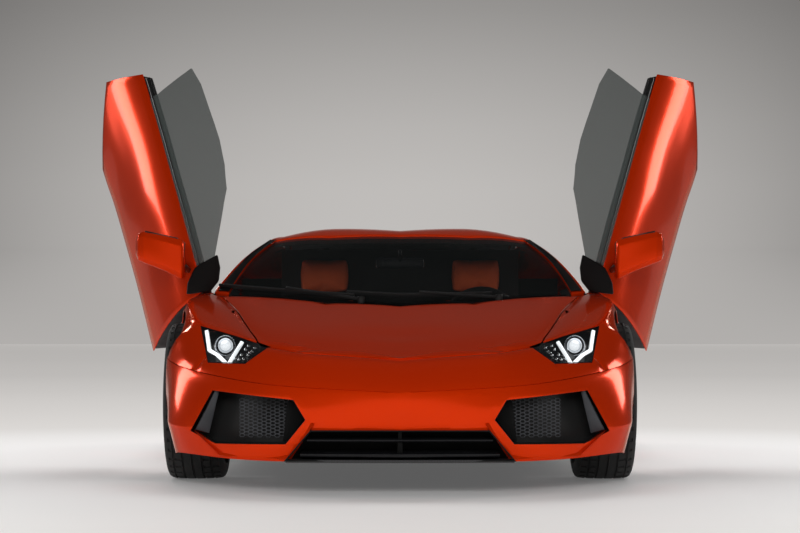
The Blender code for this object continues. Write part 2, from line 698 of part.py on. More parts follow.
DIFFUSER_X = 0.430
DIFFUSER_FRONT_Y = 1.900
DIFFUSER_FRONT_Z = 0.150
DIFFUSER_FINS = 5
FIN_THICKNESS = 0.012
FIN_DEPTH = 0.060


def make_rear_bumper():
    cells = [(strip, TAIL_STATION, LAST_STATION) for strip in (*SIDE_STRIPS, TAIL_TOP)]
    made = add_mesh("rear_bumper", panel_mesh(cells, BUMPER_WALL, centred=True), "paint", BODY)
    for side, sign in SIDES:
        cut_prism(made, f"lamp_{side}", outline(TAIL_OUTLINE_SHARES, sign), REAR_REACH)
    cut_prism(made, "grille", outline(PLATE_OUTLINE_SHARES), REAR_REACH)


def make_rear_grille():
    liner = panel_mesh([(SIDE, 15.5, 17), (HEM, 15.5, 17)], PLATE, sink=BUMPER_WALL + SEAT_GAP, centred=True)
    made = add_mesh("rear_grille", liner, "black", BODY)
    for side, sign in SIDES:
        for x in EXHAUST_TIP_XS:
            hole = cylinder_mesh(
                (sign * x, REAR_REACH[0], EXHAUST_TIP_Z), (sign * x, REAR_REACH[1], EXHAUST_TIP_Z),
                EXHAUST_TIP_RADIUS + SEAT_GAP, 20)
            boolean(made, add_cutter(f"rear_grille_pipe_{side}_{x}", hole))


def make_diffuser():
    rear = line_point("hem", LAST_STATION)
    top = rear.z - SEAT_GAP
    profile = [
        (DIFFUSER_FRONT_Y, DIFFUSER_FRONT_Z), (DIFFUSER_FRONT_Y, DIFFUSER_FRONT_Z + PLATE),
        (rear.y - BUMPER_WALL, top), (rear.y, top), (rear.y, top - PLATE)]
    made = add_mesh("rear_diffuser", prism_mesh(profile, 0, -DIFFUSER_X, DIFFUSER_X), "carbon", BODY)
    for number in range(DIFFUSER_FINS):
        x = DIFFUSER_X * (2 * number / (DIFFUSER_FINS - 1) - 1) * 0.95
        fin = [
            (DIFFUSER_FRONT_Y + FIN_DEPTH, DIFFUSER_FRONT_Z + PLATE / 2), (rear.y - PLATE, top - PLATE / 2),
            (rear.y - PLATE, top - PLATE - FIN_DEPTH)]
        bm = prism_mesh(fin, 0, x - FIN_THICKNESS / 2, x + FIN_THICKNESS / 2)
        boolean(made, add_cutter(f"rear_diffuser_fin_{number}", bm), "UNION")


# Doors
MIRROR_CENTRE = Vector((1.020, -0.640, 0.870))
MIRROR_SIZE = Vector((0.200, 0.095, 0.120))
MIRROR_ARM = 0.030
MIRROR_FOOT_SHARE = 0.30


def make_doors():
    shell_cells = [(SIDE, 7, 11), (FLANK, 7, 11)]
    for side, sign in SIDES:
        shell = sided("door", side, panel_mesh(shell_cells, DOOR_WALL, MOVING_INSET), "paint")
        start = DOOR_HINGE + DOOR_AXIS * (SEAT_GAP / 2)
        disc = cylinder_mesh(start, start + DOOR_AXIS * DOOR_HINGE_LENGTH, DOOR_HINGE_RADIUS, 24)
        middle = start + DOOR_AXIS * DOOR_HINGE_LENGTH / 2
        arm = beam_mesh(
            middle, middle + DOOR_AXIS.cross(Vector((0, DOOR_ARM_DROP, DOOR_ARM_LENGTH))) * -1,
            DOOR_HINGE_LENGTH * 0.8, DOOR_HINGE_RADIUS * 1.4, DOOR_AXIS)
        union_all(shell, [disc, arm], sign, side)
        hang(shell, side)
        pane = panel_mesh([(FLANK, 7, 11), (WINDOW, 7, 11)], GLASS_WALL, MOVING_INSET)
        pane = sided("door_glass", side, pane, "glass")
        window = prism_mesh(grown(along_up(WINDOW_OUTLINE_SHARES), -SHUT_GAP), 0, 0, HALF_WIDTH)
        cutter = add_cutter(f"window_{side}", mirrored(window) if sign < 0 else window)
        hang(cutter, side)
        boolean(pane, cutter, "INTERSECT")
        hang(pane, side)
        mirror = make_mirror(side, sign)
        hang(mirror, side)
        door = panel_mesh(shell_cells, DOOR_WALL, MOVING_INSET - SEAT_GAP, sink=-SEAT_GAP)
        seat = add_cutter(f"door_{side}_seat", mirrored(door) if sign < 0 else door)
        hang(seat, side)
        for piece in (pane, mirror):
            boolean(piece, seat)


DOOR_ARM_LENGTH = 0.090
DOOR_ARM_DROP = 0.030


def make_mirror(side, sign):
    bm = bmesh.new()
    size = Matrix.Diagonal((*MIRROR_SIZE, 1))
    bmesh.ops.create_uvsphere(
        bm, u_segments=12, v_segments=6, radius=0.5, matrix=Matrix.Translation(MIRROR_CENTRE) @ size)
    foot = line_point("shoulder", 7.5).lerp(line_point("crease", 7.5), MIRROR_FOOT_SHARE)
    arm = beam_mesh(MIRROR_CENTRE - Vector((MIRROR_SIZE.x / 4, 0, 0)), foot, MIRROR_ARM * 2, MIRROR_ARM)
    made = sided("mirror", side, bm, "paint")
    union_all(made, [arm], sign, side)
    return made


def hang(made, side):
    """Hangs a door piece, modelled shut, on the raised hinge empty of its side."""
    made.parent = HINGES[side]
    made.location = -HINGES[side].location


# Structure
def make_tub():
    floor = box_mesh((-FLOOR_X, FRONT_BULKHEAD_Y, FLOOR_BOTTOM), (FLOOR_X, REAR_BULKHEAD_Y + PLATE, FLOOR_TOP))
    made = add_mesh("tub", floor, "carbon", BODY)
    inside = FLOOR_BOTTOM + PLATE / 4
    parts = [
        box_mesh((-BULKHEAD_X, FRONT_BULKHEAD_Y + SEAT_GAP, inside),
                 (BULKHEAD_X, FRONT_BULKHEAD_Y + PLATE, FRONT_BULKHEAD_TOP)),
        box_mesh((-BULKHEAD_X, REAR_BULKHEAD_Y, inside),
                 (BULKHEAD_X, REAR_BULKHEAD_Y + PLATE * 1.5, REAR_BULKHEAD_TOP)),
        box_mesh((-TUNNEL_X, FRONT_BULKHEAD_Y + PLATE / 2, inside),
                 (TUNNEL_X, REAR_BULKHEAD_Y + PLATE / 2, TUNNEL_TOP)),
        box_mesh((-UNDERTRAY_X, UNDERTRAY_FRONT_Y, FLOOR_BOTTOM + SEAT_GAP),
                 (UNDERTRAY_X, FRONT_BULKHEAD_Y + PLATE, UNDERTRAY_TOP)),
        box_mesh((-UNDERTRAY_X, REAR_BULKHEAD_Y, FLOOR_BOTTOM + SEAT_GAP),
                 (UNDERTRAY_X, UNDERTRAY_REAR_Y, UNDERTRAY_TOP)),
        tray_shell(),
    ]
    for sign in (1, -1):
        for low, high in (
                ((SILL_INNER_X, FRONT_BULKHEAD_Y + SEAT_GAP * 2, inside - SEAT_GAP),
                 (SILL_OUTER_X, REAR_BULKHEAD_Y + PLATE, SILL_TOP)),
                ((PILLAR_INNER_X, FRONT_BULKHEAD_Y + SEAT_GAP * 3, inside + SEAT_GAP),
                 (PILLAR_OUTER_X, PILLAR_REAR_Y, PILLAR_TOP)),
                ((RAIL_INNER_X, REAR_BULKHEAD_Y + PLATE / 2, inside + SEAT_GAP),
                 (RAIL_OUTER_X, REAR_FRAME_FRONT_Y - SEAT_GAP, RAIL_TOP))):
            bm = box_mesh(low, high)
            parts.append(mirrored(bm) if sign < 0 else bm)
        parts += hinge_bosses(sign)
    union(made, *parts)
    boolean(made, add_cutter("tub_tray_inside", tray_inside()))
    return made


def tray_shell():
    profile = [
        (TRAY_FRONT_Y, TRAY_BOTTOM), (FRONT_BULKHEAD_Y + PLATE / 2, TRAY_BOTTOM),
        (FRONT_BULKHEAD_Y + PLATE / 2, FRONT_BULKHEAD_TOP - SEAT_GAP),
        (TRAY_REAR_Y, FRONT_BULKHEAD_TOP - SEAT_GAP),
        (TRAY_FRONT_Y, TRAY_FRONT_TOP)]
    return prism_mesh(profile, 0, -TRAY_X, TRAY_X)


def tray_inside():
    return box_mesh(
        (TRAY_WALL - TRAY_X, TRAY_FRONT_Y + TRAY_WALL, TRAY_BOTTOM + TRAY_WALL),
        (TRAY_X - TRAY_WALL, TRAY_REAR_Y, HEIGHT))


LUG_WIDTH = 0.030


def hinge_bosses(sign):
    """The tub's half of one side's hinges: the door's boss and a lug for each lid."""
    end = DOOR_HINGE - DOOR_AXIS * (SEAT_GAP / 2)
    door = cylinder_mesh(end - DOOR_AXIS * DOOR_HINGE_LENGTH, end, DOOR_HINGE_RADIUS, 24)
    root = Vector((
        FRONT_HINGE_X + LID_HINGE_LENGTH + RUNNING_GAP, DOOR_HINGE.y - DOOR_HINGE_RADIUS, PILLAR_TOP - LUG_WIDTH))
    post = box_mesh(root, (PILLAR_OUTER_X - SEAT_GAP, DOOR_HINGE.y, DOOR_HINGE.z))
    front = box_mesh(
        (FRONT_HINGE_X - SEAT_GAP - LUG_WIDTH, FRONT_HINGE_Y - LID_HINGE_RADIUS, PILLAR_TOP - LUG_WIDTH),
        (FRONT_HINGE_X - SEAT_GAP, FRONT_HINGE_Y + LID_HINGE_RADIUS, FRONT_HINGE_Z + LID_HINGE_RADIUS))
    rear = box_mesh(
        (REAR_HINGE_X - SEAT_GAP - LUG_WIDTH, REAR_BULKHEAD_Y + PLATE / 2, REAR_BULKHEAD_TOP - LUG_WIDTH * 2),
        (REAR_HINGE_X - SEAT_GAP, REAR_HINGE_Y + LID_HINGE_RADIUS, REAR_BULKHEAD_TOP - LUG_WIDTH))
    rear_lug = box_mesh(
        (REAR_HINGE_X - SEAT_GAP - LUG_WIDTH * 0.9, REAR_HINGE_Y - LID_HINGE_RADIUS, REAR_BULKHEAD_TOP - LUG_WIDTH * 1.5),
        (REAR_HINGE_X - SEAT_GAP, REAR_HINGE_Y + LID_HINGE_RADIUS * 0.9, REAR_HINGE_Z + LID_HINGE_RADIUS))
    made = [door, post, front, rear, rear_lug]
    return [mirrored(bm) if sign < 0 else bm for bm in made]


# Suspension, wheels
FRONT_FRAME_X = 0.470
FRAME_HALF_LENGTH = 0.150
FRAME_BOTTOM = 0.168
FRAME_TOP = TRAY_BOTTOM - SEAT_GAP
REAR_FRAME_FRONT_Y = REAR_AXLE_Y - FRAME_HALF_LENGTH
REAR_FRAME_X = 0.420
REAR_ARM_REACH = 0.120
UPRIGHT_WIDTH = 0.120
UPRIGHT_DEPTH = 0.040
ARM_WIDTH = 0.032


def wishbones(wheel_z, inner_x, outer_x, axle_y, reach):
    """Two arms above and two below the axle, from the frame to the ball joints."""
    made = []
    for level in (1, -1):
        z = wheel_z + level * (reach + SEAT_GAP + ARM_THICKNESS / 2)
        for side in (1, -1):
            start = Vector((inner_x, axle_y + side * FRAME_HALF_LENGTH * 0.8, z))
            made.append(beam_mesh(start, (outer_x, axle_y, z), ARM_WIDTH, ARM_THICKNESS * 0.9))
        made.append(cylinder_mesh(
            (outer_x, axle_y, z - ARM_THICKNESS / 2), (outer_x, axle_y, z + ARM_THICKNESS / 2), BALL_RADIUS, 16))
    return made


def caliper(disc_x, axle_y, axle_z, direction):
    """A caliper across the disc's edge, on the side of the axle that direction points to."""
    reach, half_height = DISC_RADIUS + CALIPER_WALL + RUNNING_GAP, DISC_RADIUS * 0.36
    outside = DISC_THICKNESS / 2 + RUNNING_GAP + CALIPER_WALL
    body = [DISC_RADIUS * 0.62, reach]
    slot = [DISC_RADIUS * 0.4, DISC_RADIUS + RUNNING_GAP]
    made = []
    for span, half_width, half_tall in (
            (body, outside, half_height), (slot, DISC_THICKNESS / 2 + RUNNING_GAP, half_height * 2)):
        ys = sorted(axle_y + direction * share for share in span)
        made.append(box_mesh(
            (disc_x - half_width, ys[0], axle_z - half_tall), (disc_x + half_width, ys[1], axle_z + half_tall)))
    return made


def make_front_suspension():
    low, high = FRONT_AXLE_Y - FRAME_HALF_LENGTH, FRONT_AXLE_Y + FRAME_HALF_LENGTH
    base = box_mesh((-FRONT_FRAME_X, low, FRAME_BOTTOM), (FRONT_FRAME_X, high, FRAME_TOP))
    made = add_mesh("front_suspension", base, "steel", BODY)
    top = FRONT_TYRE_RADIUS + KINGPIN_REACH + ARM_THICKNESS * 1.5
    for sign in (1, -1):
        ear = box_mesh(
            (FRONT_FRAME_X - PLATE / 2, low + SEAT_GAP, FRAME_BOTTOM + SEAT_GAP),
            (FRONT_FRAME_X + PLATE, high - SEAT_GAP, top))
        arms = wishbones(FRONT_TYRE_RADIUS, FRONT_FRAME_X + PLATE / 2, KINGPIN_X, FRONT_AXLE_Y, KINGPIN_REACH)
        union_all(made, [ear, *arms], sign)




def make_knuckles():
    disc_x = FRONT_WHEEL_X - DISC_THICKNESS / 2
    disc_back = FRONT_WHEEL_X - DISC_THICKNESS
    inner_x = KINGPIN_X - UPRIGHT_DEPTH / 2
    for side, sign in SIDES:
        body = box_mesh(
            (inner_x, FRONT_AXLE_Y - UPRIGHT_WIDTH / 2, FRONT_TYRE_RADIUS - KINGPIN_REACH + BALL_RADIUS),
            (KINGPIN_X + UPRIGHT_DEPTH / 3, FRONT_AXLE_Y + UPRIGHT_WIDTH / 2,
             FRONT_TYRE_RADIUS + KINGPIN_REACH - BALL_RADIUS))
        made = sided("knuckle_front", side, body, "steel")
        pin = cylinder_mesh(
            (KINGPIN_X, FRONT_AXLE_Y, FRONT_TYRE_RADIUS - KINGPIN_REACH),
            (KINGPIN_X, FRONT_AXLE_Y, FRONT_TYRE_RADIUS + KINGPIN_REACH), BALL_RADIUS, 16)
        hub = cylinder_mesh(
            (inner_x + SEAT_GAP, FRONT_AXLE_Y, FRONT_TYRE_RADIUS),
            (disc_back - SEAT_GAP, FRONT_AXLE_Y, FRONT_TYRE_RADIUS), HUB_RADIUS * 0.8, 20)
        body_part, slot = caliper(disc_x, FRONT_AXLE_Y, FRONT_TYRE_RADIUS, 1)
        bracket = box_mesh(
            (inner_x + SEAT_GAP * 2, FRONT_AXLE_Y, FRONT_TYRE_RADIUS - UPRIGHT_WIDTH / 3),
            (disc_back - RUNNING_GAP - CALIPER_WALL / 2, FRONT_AXLE_Y + DISC_RADIUS * 0.9,
             FRONT_TYRE_RADIUS + UPRIGHT_WIDTH / 3))
        union_all(made, [pin, hub, body_part, bracket], sign)
        boolean(made, add_cutter(f"knuckle_slot_{side}", mirrored(slot) if sign < 0 else slot))


def make_rear_suspension():
    low, high = REAR_FRAME_FRONT_Y, REAR_AXLE_Y + FRAME_HALF_LENGTH
    base = box_mesh((-REAR_FRAME_X, low, FRAME_BOTTOM), (REAR_FRAME_X, high, RAIL_TOP - SEAT_GAP))
    made = add_mesh("rear_suspension", base, "steel", BODY)
    disc_x = REAR_WHEEL_X - DISC_THICKNESS / 2
    disc_back = REAR_WHEEL_X - DISC_THICKNESS
    upright_x = disc_back - UPRIGHT_DEPTH * 1.5
    top = REAR_TYRE_RADIUS + REAR_ARM_REACH + ARM_THICKNESS * 1.5
    for sign in (1, -1):
        ear = box_mesh(
            (REAR_FRAME_X - PLATE / 2, low + SEAT_GAP, FRAME_BOTTOM + SEAT_GAP),
            (REAR_FRAME_X + PLATE, high - SEAT_GAP, top))
        arms = wishbones(REAR_TYRE_RADIUS, REAR_FRAME_X + PLATE / 2, upright_x, REAR_AXLE_Y, REAR_ARM_REACH)
        upright = box_mesh(
            (upright_x - UPRIGHT_DEPTH / 2, REAR_AXLE_Y - UPRIGHT_WIDTH / 2, REAR_TYRE_RADIUS - REAR_ARM_REACH - ARM_THICKNESS),
            (upright_x + UPRIGHT_DEPTH / 2, REAR_AXLE_Y + UPRIGHT_WIDTH / 2, REAR_TYRE_RADIUS + REAR_ARM_REACH + ARM_THICKNESS))
        shaft = cylinder_mesh(
            (ENGINE_X + SEAT_GAP, REAR_AXLE_Y, REAR_TYRE_RADIUS), (upright_x, REAR_AXLE_Y, REAR_TYRE_RADIUS),
            BALL_RADIUS, 16)
        hub = cylinder_mesh(
            (upright_x, REAR_AXLE_Y, REAR_TYRE_RADIUS), (disc_back - SEAT_GAP, REAR_AXLE_Y, REAR_TYRE_RADIUS),
            HUB_RADIUS * 0.8, 20)
        body_part, slot = caliper(disc_x, REAR_AXLE_Y, REAR_TYRE_RADIUS, -1)
        bracket = box_mesh(
            (upright_x - UPRIGHT_DEPTH / 3, REAR_AXLE_Y - DISC_RADIUS * 0.9, REAR_TYRE_RADIUS - UPRIGHT_WIDTH / 3),
            (disc_back - RUNNING_GAP - CALIPER_WALL / 2, REAR_AXLE_Y, REAR_TYRE_RADIUS + UPRIGHT_WIDTH / 3))
        union_all(made, [ear, *arms, upright, shaft, hub, body_part, bracket], sign)
        boolean(made, add_cutter(f"rear_slot_{sign}", mirrored(slot) if sign < 0 else slot))


WHEELS = [
    ("front", FRONT_AXLE_Y, FRONT_TYRE_RADIUS, FRONT_TYRE_WIDTH, FRONT_WHEEL_X),
    ("rear", REAR_AXLE_Y, REAR_TYRE_RADIUS, REAR_TYRE_WIDTH, REAR_WHEEL_X),
]
WHEEL_STEPS = 28
SPOKES = 10
SPOKE_WIDTH = 0.030
SPOKE_DEPTH = 0.026
BARREL_WALL = 0.020
FACE_SETBACK = 0.040


def tyre_profile(radius, width):
    """Half a section as shares of the wall height down from the tread and of the half width."""
    shares = [(0.0, 0.80), (0.22, 0.98), (0.62, 1.0), (1.0, 0.78)]
    half = [(radius - down * TYRE_WALL_HEIGHT, across * width / 2) for down, across in shares]
    return half + [(r, -x) for r, x in reversed(half)]


def make_wheels():
    for axle, axle_y, radius, width, wheel_x in WHEELS:
        rim_radius = radius - TYRE_WALL_HEIGHT - SEAT_GAP
        bead = 0.78 * width / 2
        face = width / 2 - FACE_SETBACK
        barrel = [
            (rim_radius, -bead), (rim_radius, bead), (rim_radius + BARREL_WALL / 3, bead * 1.16),
            (rim_radius - BARREL_WALL / 2, bead * 1.18), (rim_radius - BARREL_WALL, bead),
            (rim_radius - BARREL_WALL, -bead)]
        for side, sign in SIDES:
            tyre = sided(f"tyre_{axle}", side, turned_mesh(tyre_profile(radius, width), WHEEL_STEPS), "tyre")
            rim = sided(f"rim_{axle}", side, turned_mesh(barrel, WHEEL_STEPS), "rim")
            rim.location = (sign * wheel_x, axle_y, radius)
            disc = sided(f"brake_disc_{axle}", side, cylinder_mesh(
                (-DISC_THICKNESS, 0, 0), (0, 0, 0), DISC_RADIUS, 24), "steel")
            centre = cylinder_mesh((SEAT_GAP, 0, 0), (face + SPOKE_DEPTH / 2, 0, 0), HUB_RADIUS, 20)
            union_all(rim, [centre], sign)
            spider = spokes(face, rim_radius - BARREL_WALL / 2)
            union_all(rim, spider, sign)
            for made in (tyre, rim, disc):
                made.location = (sign * wheel_x, axle_y, radius)


def spokes(face, reach):
    made = []
    for number in range(SPOKES):
        angle = 2 * math.pi * number / SPOKES
        bm = box_mesh(
            (face - SPOKE_DEPTH, -SPOKE_WIDTH / 2, HUB_RADIUS * 0.7), (face, SPOKE_WIDTH / 2, reach))
        bmesh.ops.rotate(bm, matrix=Matrix.Rotation(angle, 3, "X"), verts=bm.verts)
        made.append(bm)
    return made


# Engine, exhaust
ENGINE_X = 0.330
ENGINE_FRONT_Y = 0.540
ENGINE_REAR_Y = 1.620
ENGINE_TOP = 0.640
MUFFLER_Y = 1.960
MUFFLER_Z = 0.400
MUFFLER_RADIUS = 0.105
MUFFLER_X = 0.480
EXHAUST_PIPE_X = 0.200
EXHAUST_PIPE_RADIUS = 0.032
EXHAUST_TIP_XS = (0.110, 0.230)
EXHAUST_TIP_Z = 0.330
EXHAUST_TIP_RADIUS = 0.045
EXHAUST_TIP_WALL = 0.004
EXHAUST_TIP_END_Y = 2.391


def make_engine():
    bm = box_mesh((-ENGINE_X, ENGINE_FRONT_Y, RAIL_TOP), (ENGINE_X, ENGINE_REAR_Y, ENGINE_TOP))
    add_mesh("engine", bm, "steel", BODY)


def make_exhaust():
    muffler = cylinder_mesh((-MUFFLER_X, MUFFLER_Y, MUFFLER_Z), (MUFFLER_X, MUFFLER_Y, MUFFLER_Z), MUFFLER_RADIUS, 24)
    made = add_mesh("exhaust", muffler, "steel", BODY)
    for sign in (1, -1):
        pipe = cylinder_mesh(
            (EXHAUST_PIPE_X, ENGINE_REAR_Y + SEAT_GAP, MUFFLER_Z), (EXHAUST_PIPE_X, MUFFLER_Y, MUFFLER_Z),
            EXHAUST_PIPE_RADIUS, 16)
        tips = [
            cylinder_mesh((x, MUFFLER_Y - MUFFLER_RADIUS / 2, EXHAUST_TIP_Z),
                          (x, EXHAUST_TIP_END_Y, EXHAUST_TIP_Z), EXHAUST_TIP_RADIUS, 20) for x in EXHAUST_TIP_XS]
        union_all(made, [pipe, *tips], sign)


# Cabin
DASH_X = 0.680
DASH_PROFILE_SHARES = [
    (0.140, 0.440), (0.260, 0.410), (0.296, 0.493), (0.279, 0.599), (0.250, 0.640), (0.140, 0.630)]
COLUMN_X = 0.380
COLUMN_RADIUS = 0.035
WHEEL_STANDOFF = 0.120
STEERING_RADIUS = 0.170
STEERING_RIM = 0.016
SEAT_X = 0.380
SEAT_PROFILE_SHARES = [
    (0.350, 0.140), (0.560, 0.140), (0.632, 0.720), (0.626, 0.870), (0.600, 0.885), (0.575, 0.760),
    (0.505, 0.290), (0.350, 0.330)]
BOLSTER_PROFILE_SHARES = [
    (0.352, 0.148), (0.560, 0.148), (0.620, 0.640), (0.560, 0.660), (0.490, 0.380), (0.352, 0.380)]
SEAT_HALF_WIDTH = 0.235
BOLSTER_WIDTH = 0.055
HEADREST_HALF_WIDTH = 0.125


def make_dashboard():
    profile = along_up(DASH_PROFILE_SHARES)
    front = FRONT_BULKHEAD_Y + PLATE + SEAT_GAP
    profile = [(max(y, front), z) for y, z in profile]
    add_mesh("dashboard", prism_mesh(profile, 0, -DASH_X, DASH_X), "black", BODY)


def make_steering_wheel():
    low, high = (Vector((COLUMN_X, *point)) for point in along_up(DASH_PROFILE_SHARES)[2:4])
    up = (high - low).normalized()
    out = Vector((0, up.z, -up.y))
    foot = (low + high) / 2 + out * SEAT_GAP
    centre = foot + out * WHEEL_STANDOFF
    column = cylinder_mesh(foot, centre, COLUMN_RADIUS, 16)
    made = add_mesh("steering_wheel", column, "black", BODY)
    turn = Matrix((out, Vector((1, 0, 0)).cross(out) * -1, Vector((1, 0, 0)))).transposed().to_4x4()
    ring = [(STEERING_RADIUS + STEERING_RIM * math.cos(a), STEERING_RIM * math.sin(a))
            for a in (math.pi * k / 3 for k in range(6))]
    rim = turned_mesh(ring, 28)
    bars = [
        box_mesh((-STEERING_RIM / 2, -STEERING_RADIUS, -STEERING_RIM), (STEERING_RIM / 2, STEERING_RADIUS, STEERING_RIM)),
        box_mesh((-STEERING_RIM / 3, -STEERING_RIM, -STEERING_RADIUS), (STEERING_RIM / 3, STEERING_RIM, 0))]
    for bm in (rim, *bars):
        bm.transform(Matrix.Translation(centre) @ turn)
        bmesh.ops.recalc_face_normals(bm, faces=bm.faces)
    union_all(made, [rim, *bars], 1)


def make_seats():
    core = [(y, max(z, FLOOR_TOP)) for y, z in along_up(SEAT_PROFILE_SHARES)]
    side_profile = along_up(BOLSTER_PROFILE_SHARES)
    for side, sign in SIDES:
        inner = prism_mesh(core, 0, SEAT_X - SEAT_HALF_WIDTH, SEAT_X + SEAT_HALF_WIDTH)
        bmesh.ops.translate(inner, verts=inner.verts, vec=(0, 0, SEAT_GAP))
        made = sided("seat", side, inner, "leather")
        walls = []
        for edge in (-1, 1):
            middle = SEAT_X + edge * (SEAT_HALF_WIDTH - BOLSTER_WIDTH / 4)
            wall = prism_mesh(side_profile, 0, middle - BOLSTER_WIDTH / 2, middle + BOLSTER_WIDTH / 2)
            walls.append(wall)
        union_all(made, walls, sign)
        for edge in (-1, 1):
            cut = box_mesh(
                (SEAT_X + edge * (HEADREST_HALF_WIDTH + SEAT_HALF_WIDTH) - SEAT_HALF_WIDTH, 0, HEIGHT * 0.735),
                (SEAT_X + edge * (HEADREST_HALF_WIDTH + SEAT_HALF_WIDTH) + SEAT_HALF_WIDTH, WHEELBASE, HEIGHT * 2))
            boolean(made, add_cutter(f"seat_{side}_shoulder_{edge}", mirrored(cut) if sign < 0 else cut))


# Cowl below the windscreen
COWL_SINK = 0.030
COWL_WALL = 0.010
COWL_FOOT_X = 0.180


def make_cowl():
    cells = [(OUTER_TOP, HOOD_END, 7), (INNER_TOP, HOOD_END, 7)]
    bm = panel_mesh(cells, COWL_WALL, sink=COWL_SINK, centred=True)
    made = add_mesh("cowl", bm, "black", BODY)
    front, rear = line_point("spine", HOOD_END), line_point("spine", 7)
    middle = (front.y + rear.y) / 2
    foot = box_mesh(
        (-COWL_FOOT_X, middle - COWL_WALL, FRONT_BULKHEAD_TOP),
        (COWL_FOOT_X, middle + COWL_WALL, rear.z - COWL_SINK - COWL_WALL * 1.4))
    union(made, foot)
    for side, sign in SIDES:
        slot = box_mesh(
            (FRONT_HINGE_X - LUG_WIDTH - RUNNING_GAP, FRONT_BULKHEAD_Y - WHEELBASE, FRONT_BULKHEAD_TOP),
            (HALF_WIDTH, FRONT_HINGE_Y + WHEELBASE, HEIGHT))
        boolean(made, add_cutter(f"cowl_slot_{side}", mirrored(slot) if sign < 0 else slot))


clear_scene()
BODY = collection("scissor_door_coupe")
CUTTERS = collection("cutters")
SIDES = (("left", 1), ("right", -1))
NORMALS = skin_normals()
HINGES = {side: hinge_empty(side) for side, _ in SIDES}
make_front_bumper()
make_front_grille()
make_fenders()
make_lamps()
make_lids()
make_roof()
make_quarters()
make_rear_bumper()
make_rear_grille()
make_diffuser()
make_doors()
make_tub()
make_front_suspension()
make_knuckles()
make_rear_suspension()
make_wheels()
make_engine()
make_exhaust()
make_dashboard()
make_steering_wheel()
make_seats()
make_cowl()
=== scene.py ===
"""Looks for the scissor-door coupe: panels, lamps, intakes, glass, wheels and cabin round its frame."""
from __future__ import annotations

import json
import logging
import math
from dataclasses import dataclass, field
from enum import Enum
from typing import Iterable, Sequence

import bmesh
import bpy
from bmesh.types import BMEdge, BMesh, BMFace, BMVert
from mathutils import Matrix, Vector
from mathutils.bvhtree import BVHTree

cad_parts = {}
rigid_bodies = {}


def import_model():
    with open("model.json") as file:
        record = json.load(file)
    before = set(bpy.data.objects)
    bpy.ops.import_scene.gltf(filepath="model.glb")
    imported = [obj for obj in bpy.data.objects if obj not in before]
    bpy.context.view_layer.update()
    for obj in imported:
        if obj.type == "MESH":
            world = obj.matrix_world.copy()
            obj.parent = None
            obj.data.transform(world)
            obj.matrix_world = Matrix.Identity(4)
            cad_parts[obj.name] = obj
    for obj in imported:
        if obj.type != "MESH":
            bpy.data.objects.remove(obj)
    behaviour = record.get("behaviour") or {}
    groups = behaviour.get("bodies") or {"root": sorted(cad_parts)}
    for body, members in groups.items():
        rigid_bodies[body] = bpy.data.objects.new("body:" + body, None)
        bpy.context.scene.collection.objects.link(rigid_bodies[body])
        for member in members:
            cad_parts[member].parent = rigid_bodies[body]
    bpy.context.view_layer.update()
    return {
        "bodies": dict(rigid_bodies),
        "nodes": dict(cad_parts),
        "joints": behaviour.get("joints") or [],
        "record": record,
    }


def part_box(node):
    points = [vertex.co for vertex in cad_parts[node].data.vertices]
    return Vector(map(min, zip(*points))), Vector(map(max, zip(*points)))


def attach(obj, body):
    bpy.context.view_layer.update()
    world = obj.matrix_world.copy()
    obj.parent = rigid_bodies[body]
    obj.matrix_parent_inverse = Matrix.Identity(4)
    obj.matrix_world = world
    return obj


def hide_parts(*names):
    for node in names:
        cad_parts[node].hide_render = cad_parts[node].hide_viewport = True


LOG = logging.getLogger("scissor_coupe")
Cell = tuple[int, float, float]
Point2 = tuple[float, float]
Outline = tuple[Point2, ...]
Triple = tuple[float, float, float]


class Side(Enum):
    """One side of the car, with the sign of its X."""

    LEFT = 1
    RIGHT = -1

    @property
    def label(self) -> str:
        """The word that node names end in."""
        return self.name.lower()


class Axle(Enum):
    """One axle of the car."""

    FRONT = "front"
    REAR = "rear"


# Shader maths
class Sock:
    """A shader socket or value that Python expressions can work with."""

    def __init__(self, graph: "Graph", link: object) -> None:
        """Wraps link, an output socket, in its graph."""
        self.graph = graph
        self.link = link

    def _math(self, operation: str, first: object, second: object) -> "Sock":
        """Adds one Math node."""
        return self.graph.node("ShaderNodeMath", {"operation": operation}, {0: first, 1: second})

    def __add__(self, other: object) -> "Sock":
        """Sum."""
        return self._math("ADD", self, other)

    __radd__ = __add__

    def __sub__(self, other: object) -> "Sock":
        """Difference."""
        return self._math("SUBTRACT", self, other)

    def __rsub__(self, other: object) -> "Sock":
        """Reflected difference."""
        return self._math("SUBTRACT", other, self)

    def __mul__(self, other: object) -> "Sock":
        """Product."""
        return self._math("MULTIPLY", self, other)

    __rmul__ = __mul__


